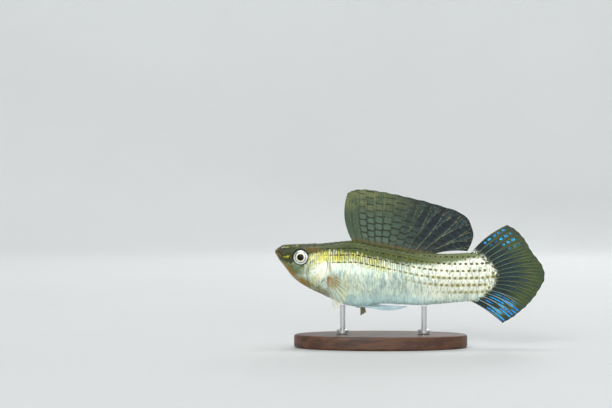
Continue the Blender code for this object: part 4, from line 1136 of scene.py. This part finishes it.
def sail_material():
    """The sail: greenish web, dark rungs between the rays, pale cells, a bluish rear and a brown base."""
    made, shader, (ray, out, length), wavy, fine = dark_fin_material("sail_finish")
    near, aside = ray_lines(ray, out, 0.3)
    rear = ray.smooth(4.5, 10.5)
    shift = (ray.math("FLOOR") * 2.399).math("SINE") * 0.3
    step = (length + wavy * 0.8) / 1.95 + shift
    rung = (step - step.math("ROUND")).math("ABSOLUTE")
    corner = 0.5 - rung
    inside = 0.5 - aside
    cell = ((corner * corner * 5.2).math("MAXIMUM", inside * inside * 5.2)
            + corner * corner * 3.0 + inside * inside * 3.0).smooth(1.7, 0.9)
    banded = length.smooth(1.6, 2.6) * (1.0 - ray.smooth(2.3, 1.7))
    low = length.smooth(12.5, 7.0)
    blotch = cell * inside.smooth(0.34, 0.12) * rear * out.smooth(0.12, 0.35)
    sheen = (1.0 - cell) * rear * out.smooth(0.2, 0.5) * fine.smooth(0.35, 0.6)
    glow = out.smooth(0.5, 0.85) * ray.smooth(8.5, 2.0) * wavy.smooth(0.3, 0.6)
    dash = rung.smooth(0.1, 0.055) * aside.smooth(0.02, 0.07) * banded
    dash = dash * (wavy + shift * 0.3).smooth(0.3, 0.42)
    streak = (near * (1.0 + out * 1.3)).smooth(0.08, 0.02)
    broken = (fine + wavy * 0.5).smooth(0.62, 0.86)
    bone = mixed(rear, rgb(36, 48, 26), mixed(broken, rgb(58, 74, 66), rgb(150, 146, 92)))
    beads = (length * 3.1 + ray.math("FLOOR") * 1.9 + fine * 3.0).math("SINE").smooth(0.35, 0.8)
    web = layered(mixed(rear, rgb(68, 88, 64), rgb(12, 34, 38)),
                  (fine.smooth(0.35, 0.75) * 0.6, mixed(rear, rgb(94, 112, 84), rgb(28, 56, 60))),
                  (cell * banded * low * (1.0 - rear * 0.75) * 0.5, rgb(100, 126, 108)),
                  ((1.0 - cell) * banded * low * 0.5, rgb(30, 42, 22)),
                  (blotch * wavy.smooth(0.3, 0.55) * 0.8, rgb(10, 28, 44)),
                  (sheen * 0.5, rgb(66, 96, 102)), (glow * 0.6, rgb(150, 152, 86)),
                  (dash * (0.95 - rear * 0.3), rgb(30, 22, 4)), (streak * (0.9 - out * 0.35), bone),
                  (beads * inside.smooth(0.42, 0.2) * rear * out.smooth(0.1, 0.25) * 0.7, rgb(6, 16, 30)),
                  (out.smooth(0.075, 0.01), rgb(100, 88, 46)),
                  (out.smooth(0.94, 1.0) * (0.25 + rear * 0.6), rgb(16, 30, 32)))
    opaque = (streak + dash).math("MINIMUM", 1.0) * 0.04 + 0.96
    finish_fin(shader, web, 0.7, opaque, length, streak, fine)
    return made


def tail_material():
    """The tail fin: slate web, pale rays, olive outer parts, blue dashes above and blue streaks below."""
    made, shader, (ray, out, length), wavy, fine = dark_fin_material("tail_finish")
    near, aside = ray_lines(ray, out, 0.2)
    dusky = (ray.smooth(13.0, 16.5) + ray.smooth(5.0, 1.5)) * out.smooth(0.75, 0.95)
    streak = (near * (1.0 + out * 1.2)).smooth(0.075, 0.02)
    bone = mixed(out.smooth(0.1, 0.75), rgb(126, 146, 118), rgb(108, 122, 84))
    bone = mixed(ray.smooth(5.0, 3.2) * out.smooth(0.9, 0.6), bone, rgb(196, 216, 218))
    beat = (ray.math("FLOOR") * 2.2 + length * 3.7 + wavy * 2.4).math("SINE")
    inside = (0.5 - aside) * 4.4
    spots = (beat - inside * inside * 2.4 + fine * 1.4).smooth(0.1, 0.4)
    upper = ray.smooth(13.0, 14.4) * out.smooth(0.26, 0.36) * out.smooth(0.9, 0.82) * spots
    upper = upper * (ray.smooth(15.2, 16.0) + out.smooth(0.5, 0.6)).math("MINIMUM", 1.0)
    stripes = aside.smooth(0.36, 0.42).math("MAXIMUM", aside.smooth(0.14, 0.07) * out.smooth(0.4, 0.55))
    low = ray.smooth(4.1, 2.9) * out.smooth(0.12, 0.3) * out.smooth(0.99, 0.93) * stripes
    low = low * ((ray * 2.0).math("ROUND") * 2.4 + length * 0.55).math("SINE").smooth(-0.9, -0.5)
    blue = upper.math("MAXIMUM", low)
    middle = ray.smooth(3.5, 6.0) * ray.smooth(14.5, 12.0) * out.smooth(0.16, 0.36) * out.smooth(0.8, 0.6)
    dashes = (beat - inside * inside * 5.0 + fine * 1.4).smooth(-0.1, 0.3)
    root = out.smooth(0.13, 0.03)
    web = layered(mixed(out.smooth(0.3, 0.8), rgb(16, 38, 36), rgb(66, 80, 38)),
                  (wavy.smooth(0.4, 0.65) * 0.5, rgb(34, 60, 52)), (dusky * 0.7, rgb(26, 44, 50)),
                  (streak * (0.9 - out * 0.35), bone),
                  (blue * 0.97, mixed(fine.smooth(0.3, 0.7), rgb(4, 112, 228), rgb(50, 200, 246))),
                  (middle * dashes * 0.6, rgb(30, 66, 112)), (root * 0.6, rgb(126, 140, 108)),
                  (root * fine.smooth(0.52, 0.6), rgb(234, 238, 222)),
                  (root * fine.smooth(0.46, 0.4), rgb(58, 46, 12)),
                  (out.smooth(0.975, 0.998) * ray.smooth(2.0, 6.0) * 0.85, rgb(20, 22, 12)))
    opaque = (streak + blue).math("MINIMUM", 1.0) * 0.04 + 0.96
    finish_fin(shader, web, 0.8, opaque, length, streak, fine)
    return made


def pale_fin_material(name, web_tint, ray_tint, root_tint, alpha):
    """A pale fin with a tinted root, in which every second ray is bold."""
    made, tree, shader = new_material(name, 0.33, coat_weight=0.4, coat_roughness=0.15)
    ray, out, length = attribute(tree, "fin_place")
    fine = noise(tree, 1700.0, 3.0)
    near = ray_lines(ray, out)[0]
    bold = (ray * 0.5 - (ray * 0.5).math("ROUND")).math("ABSOLUTE").smooth(0.35, 0.15)
    streak = (near - bold * 0.07).smooth(0.1, 0.035) * (bold * 0.75 + 0.25)
    web = mixed(out.smooth(0.22, 0.0), mixed(streak, web_tint, ray_tint), root_tint)
    fading = (1.0 - out * 0.2) * (1.0 - ray.smooth(5.0, 11.0) * 0.6)
    solid = (streak * fading + out.smooth(0.22, 0.05)).math("MINIMUM", 1.0)
    opaque = solid * (1.0 - alpha) + alpha
    finish_fin(shader, web, 0.8, opaque, length, streak, fine, (18.0, 0.4, 0.03, 0.6))
    return made


def make_fins():
    fin_mesh("sail", sail_lines, SAIL_RAYS, 20, 88, sail_material(), "dorsal_fin",
             sink=0.06, fork=0.3, seed=3)
    fin_mesh("tail_fin", tail_lines, TAIL_RAYS, 20, 72, tail_material(), "caudal_fin",
             sink=0.09, fork=0.2, seed=4)
    pectoral = pale_fin_material("pectoral_finish", rgb(196, 202, 160), rgb(240, 236, 186),
                                 rgb(168, 130, 82), 0.025)
    belly_fins = pale_fin_material("belly_fin_finish", rgb(184, 212, 222), rgb(216, 232, 236),
                                   rgb(176, 200, 200), 0.9)
    stub = pale_fin_material("splayed_fin_finish", rgb(168, 158, 112), rgb(206, 200, 166),
                             rgb(190, 190, 160), 0.85)
    for side, word in ((LEFT, "left"), (RIGHT, "right")):
        fin_mesh("pectoral_" + word, pectoral_lines(side), 13, 10, 44, pectoral,
                 "pectoral_fin_" + word, ray_half=0.07, root_half=0.3, fork=0.5, sink=0.1, web_half=0.05,
                 seed=5)
    swept = pelvic_lines(LEFT, (25.2, 26.7), (-2.0, -8.6), (6.0, 7.2), (0.9, 0.9))
    splayed = pelvic_lines(RIGHT, (26.0, 27.2), (-74.0, -88.0), (2.4, 3.0), (4.4, 2.4))
    for lines, finish, word, sink in ((swept, belly_fins, "left", 0.08), (splayed, stub, "right", 0.1)):
        fin_mesh("pelvic_" + word, lines, 7, 10, 40, finish, "pelvic_fin_" + word,
                 ray_half=0.08, root_half=0.32, sink=sink, web_half=0.07)
    fin_mesh("gonopodium_fin", gonopodium_lines, 6, 10, 60, belly_fins, "gonopodium",
             ray_half=0.14, root_half=0.42, sink=0.06, web_half=0.16, fork=2.0)


# ---- stand, stage, lights and camera ----

# Each light: name, place, point it aims at, size, watts and tint.
WHITE = (1.0, 1.0, 1.0)
LIGHTS = [("key", (-0.35, -0.85, 0.6), (0.0, 0.0, 0.02), (0.5, 0.4), 3.0, (1.0, 0.985, 0.95)),
          ("top", (0.1, 0.05, 0.95), (0.0, 0.0, 0.0), (0.7, 0.5), 1.8, WHITE),
          ("front", (-0.05, -1.15, 0.3), (0.0, 0.0, 0.03), (1.1, 0.3), 3.8, (0.97, 0.99, 1.0)),
          ("rim", (0.3, 0.8, 0.5), (0.0, 0.0, 0.03), (0.5, 0.3), 1.2, WHITE),
          ("backdrop", (0.0, 0.35, 1.15), (0.0, 1.3, 0.4), (1.4, 0.3), 5.0, WHITE)]
AMBIENT_TINT = (0.9, 0.93, 0.95, 1.0)
AMBIENT = 0.3
# The camera looks along +y, from where the photo's framing is met.
CAMERA_PLACE = (-0.03094, -0.43, 0.04299)
SENSOR = 36.0
FIELD_AT_FISH = 183.6
CAMERA_DISTANCE = 430.0
STAGE_RADIUS = 0.9
STAGE_BEND = 0.5
STAGE_HEIGHT = 1.3


def wood_material():
    made, tree, shader = new_material("wood_finish", 0.45, coat_weight=0.15, coat_roughness=0.25)
    grain = noise(tree, 300.0, 5.0, (0.16, 1.0, 1.0), 0.6)
    pores = noise(tree, 1800.0, 3.0, (0.06, 1.0, 1.0))
    bands = (grain * 26.0).math("SINE") * 0.5 + 0.5
    tint = mixed(bands * 0.65 + grain * 0.35, rgb(58, 34, 20), rgb(104, 64, 38))
    plug(shader.inputs["Base Color"], mixed(pores.smooth(0.6, 0.72) * 0.7, tint, rgb(30, 17, 10)))
    bumped(shader, pores * -0.6 + grain * 0.4, 0.04, 0.5)
    return made


def steel_material():
    made, tree, shader = new_material("steel_finish", 0.28, metallic=1.0, anisotropic=0.5)
    lines = noise(tree, 5200.0, 3.0, (1.0, 1.0, 0.03))
    plug(shader.inputs["Base Color"], mixed(lines, rgb(186, 188, 190), rgb(222, 223, 224)))
    plug(shader.inputs["Roughness"], lines * 0.16 + 0.2)
    bumped(shader, lines, 0.01, 0.4)
    return made


def stage_material():
    made, tree, shader = new_material("stage_finish", 0.7)
    soft = noise(tree, 6.0, 2.0)
    plug(shader.inputs["Base Color"], mixed(soft, rgb(228, 230, 230), rgb(234, 236, 236)))
    return made


def make_stage():
    """A pale floor that rises to a wall all round."""
    profile = [(0.0, 0.0), (0.5, 0.0), (STAGE_RADIUS, 0.0)]
    for angle in np.linspace(0.0, 90.0, 13)[1:]:
        a = math.radians(angle)
        profile.append((STAGE_RADIUS + STAGE_BEND * math.sin(a), STAGE_BEND - STAGE_BEND * math.cos(a)))
    profile.append((STAGE_RADIUS + STAGE_BEND, STAGE_HEIGHT))
    count = 72
    turns = [2 * math.pi * j / count for j in range(count)]
    mesh = bpy.data.meshes.new("stage")
    mesh.from_pydata([(radius * math.cos(turn), radius * math.sin(turn), height)
                      for radius, height in profile for turn in turns], [], ring_faces(len(profile), count))
    mended(mesh, 1e-6, outward=False)
    mesh.shade_smooth()
    mesh.materials.append(stage_material())
    stage = bpy.data.objects.new("stage", mesh)
    bpy.context.scene.collection.objects.link(stage)


def make_lights_and_camera():
    scene = bpy.context.scene
    for name, place, aim, size, watts, tint in LIGHTS:
        data = bpy.data.lights.new(name, "AREA")
        data.shape = "RECTANGLE"
        data.size, data.size_y = size
        data.energy = watts
        data.color = tint
        light = bpy.data.objects.new(name, data)
        scene.collection.objects.link(light)
        light.location = place
        light.visible_camera = False
        way = Vector((np.array(aim) - np.array(place)).tolist())
        light.rotation_euler = way.to_track_quat("-Z", "Y").to_euler()
    world = bpy.data.worlds.new("studio")
    world.use_nodes = True
    background = world.node_tree.nodes["Background"]
    background.inputs[0].default_value = AMBIENT_TINT
    background.inputs[1].default_value = AMBIENT
    scene.world = world
    data = bpy.data.cameras.new("camera")
    data.sensor_width = SENSOR
    data.lens = SENSOR * CAMERA_DISTANCE / FIELD_AT_FISH
    data.clip_start = 0.01
    data.clip_end = 20.0
    camera = bpy.data.objects.new("camera", data)
    scene.collection.objects.link(camera)
    camera.location = CAMERA_PLACE
    camera.rotation_euler = (math.pi / 2, 0.0, 0.0)
    scene.camera = camera
    scene.view_settings.view_transform = "Standard"


def main():
    make_skin()
    scales = scale_material()
    draw = np.random.default_rng(7)
    for side, word in ((LEFT, "left"), (RIGHT, "right"), (0, "middle")):
        make_scales("scales_" + word, side, scales, draw)
    eyes = eye_material()
    make_eye("eye_left", LEFT, eyes)
    make_eye("eye_right", RIGHT, eyes)
    make_fins()
    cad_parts["stand_base"].material_slots[0].material = wood_material()
    steel = steel_material()
    for node in ("stand_rod_front", "stand_rod_rear"):
        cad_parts[node].material_slots[0].material = steel
    make_stage()
    make_lights_and_camera()


main()
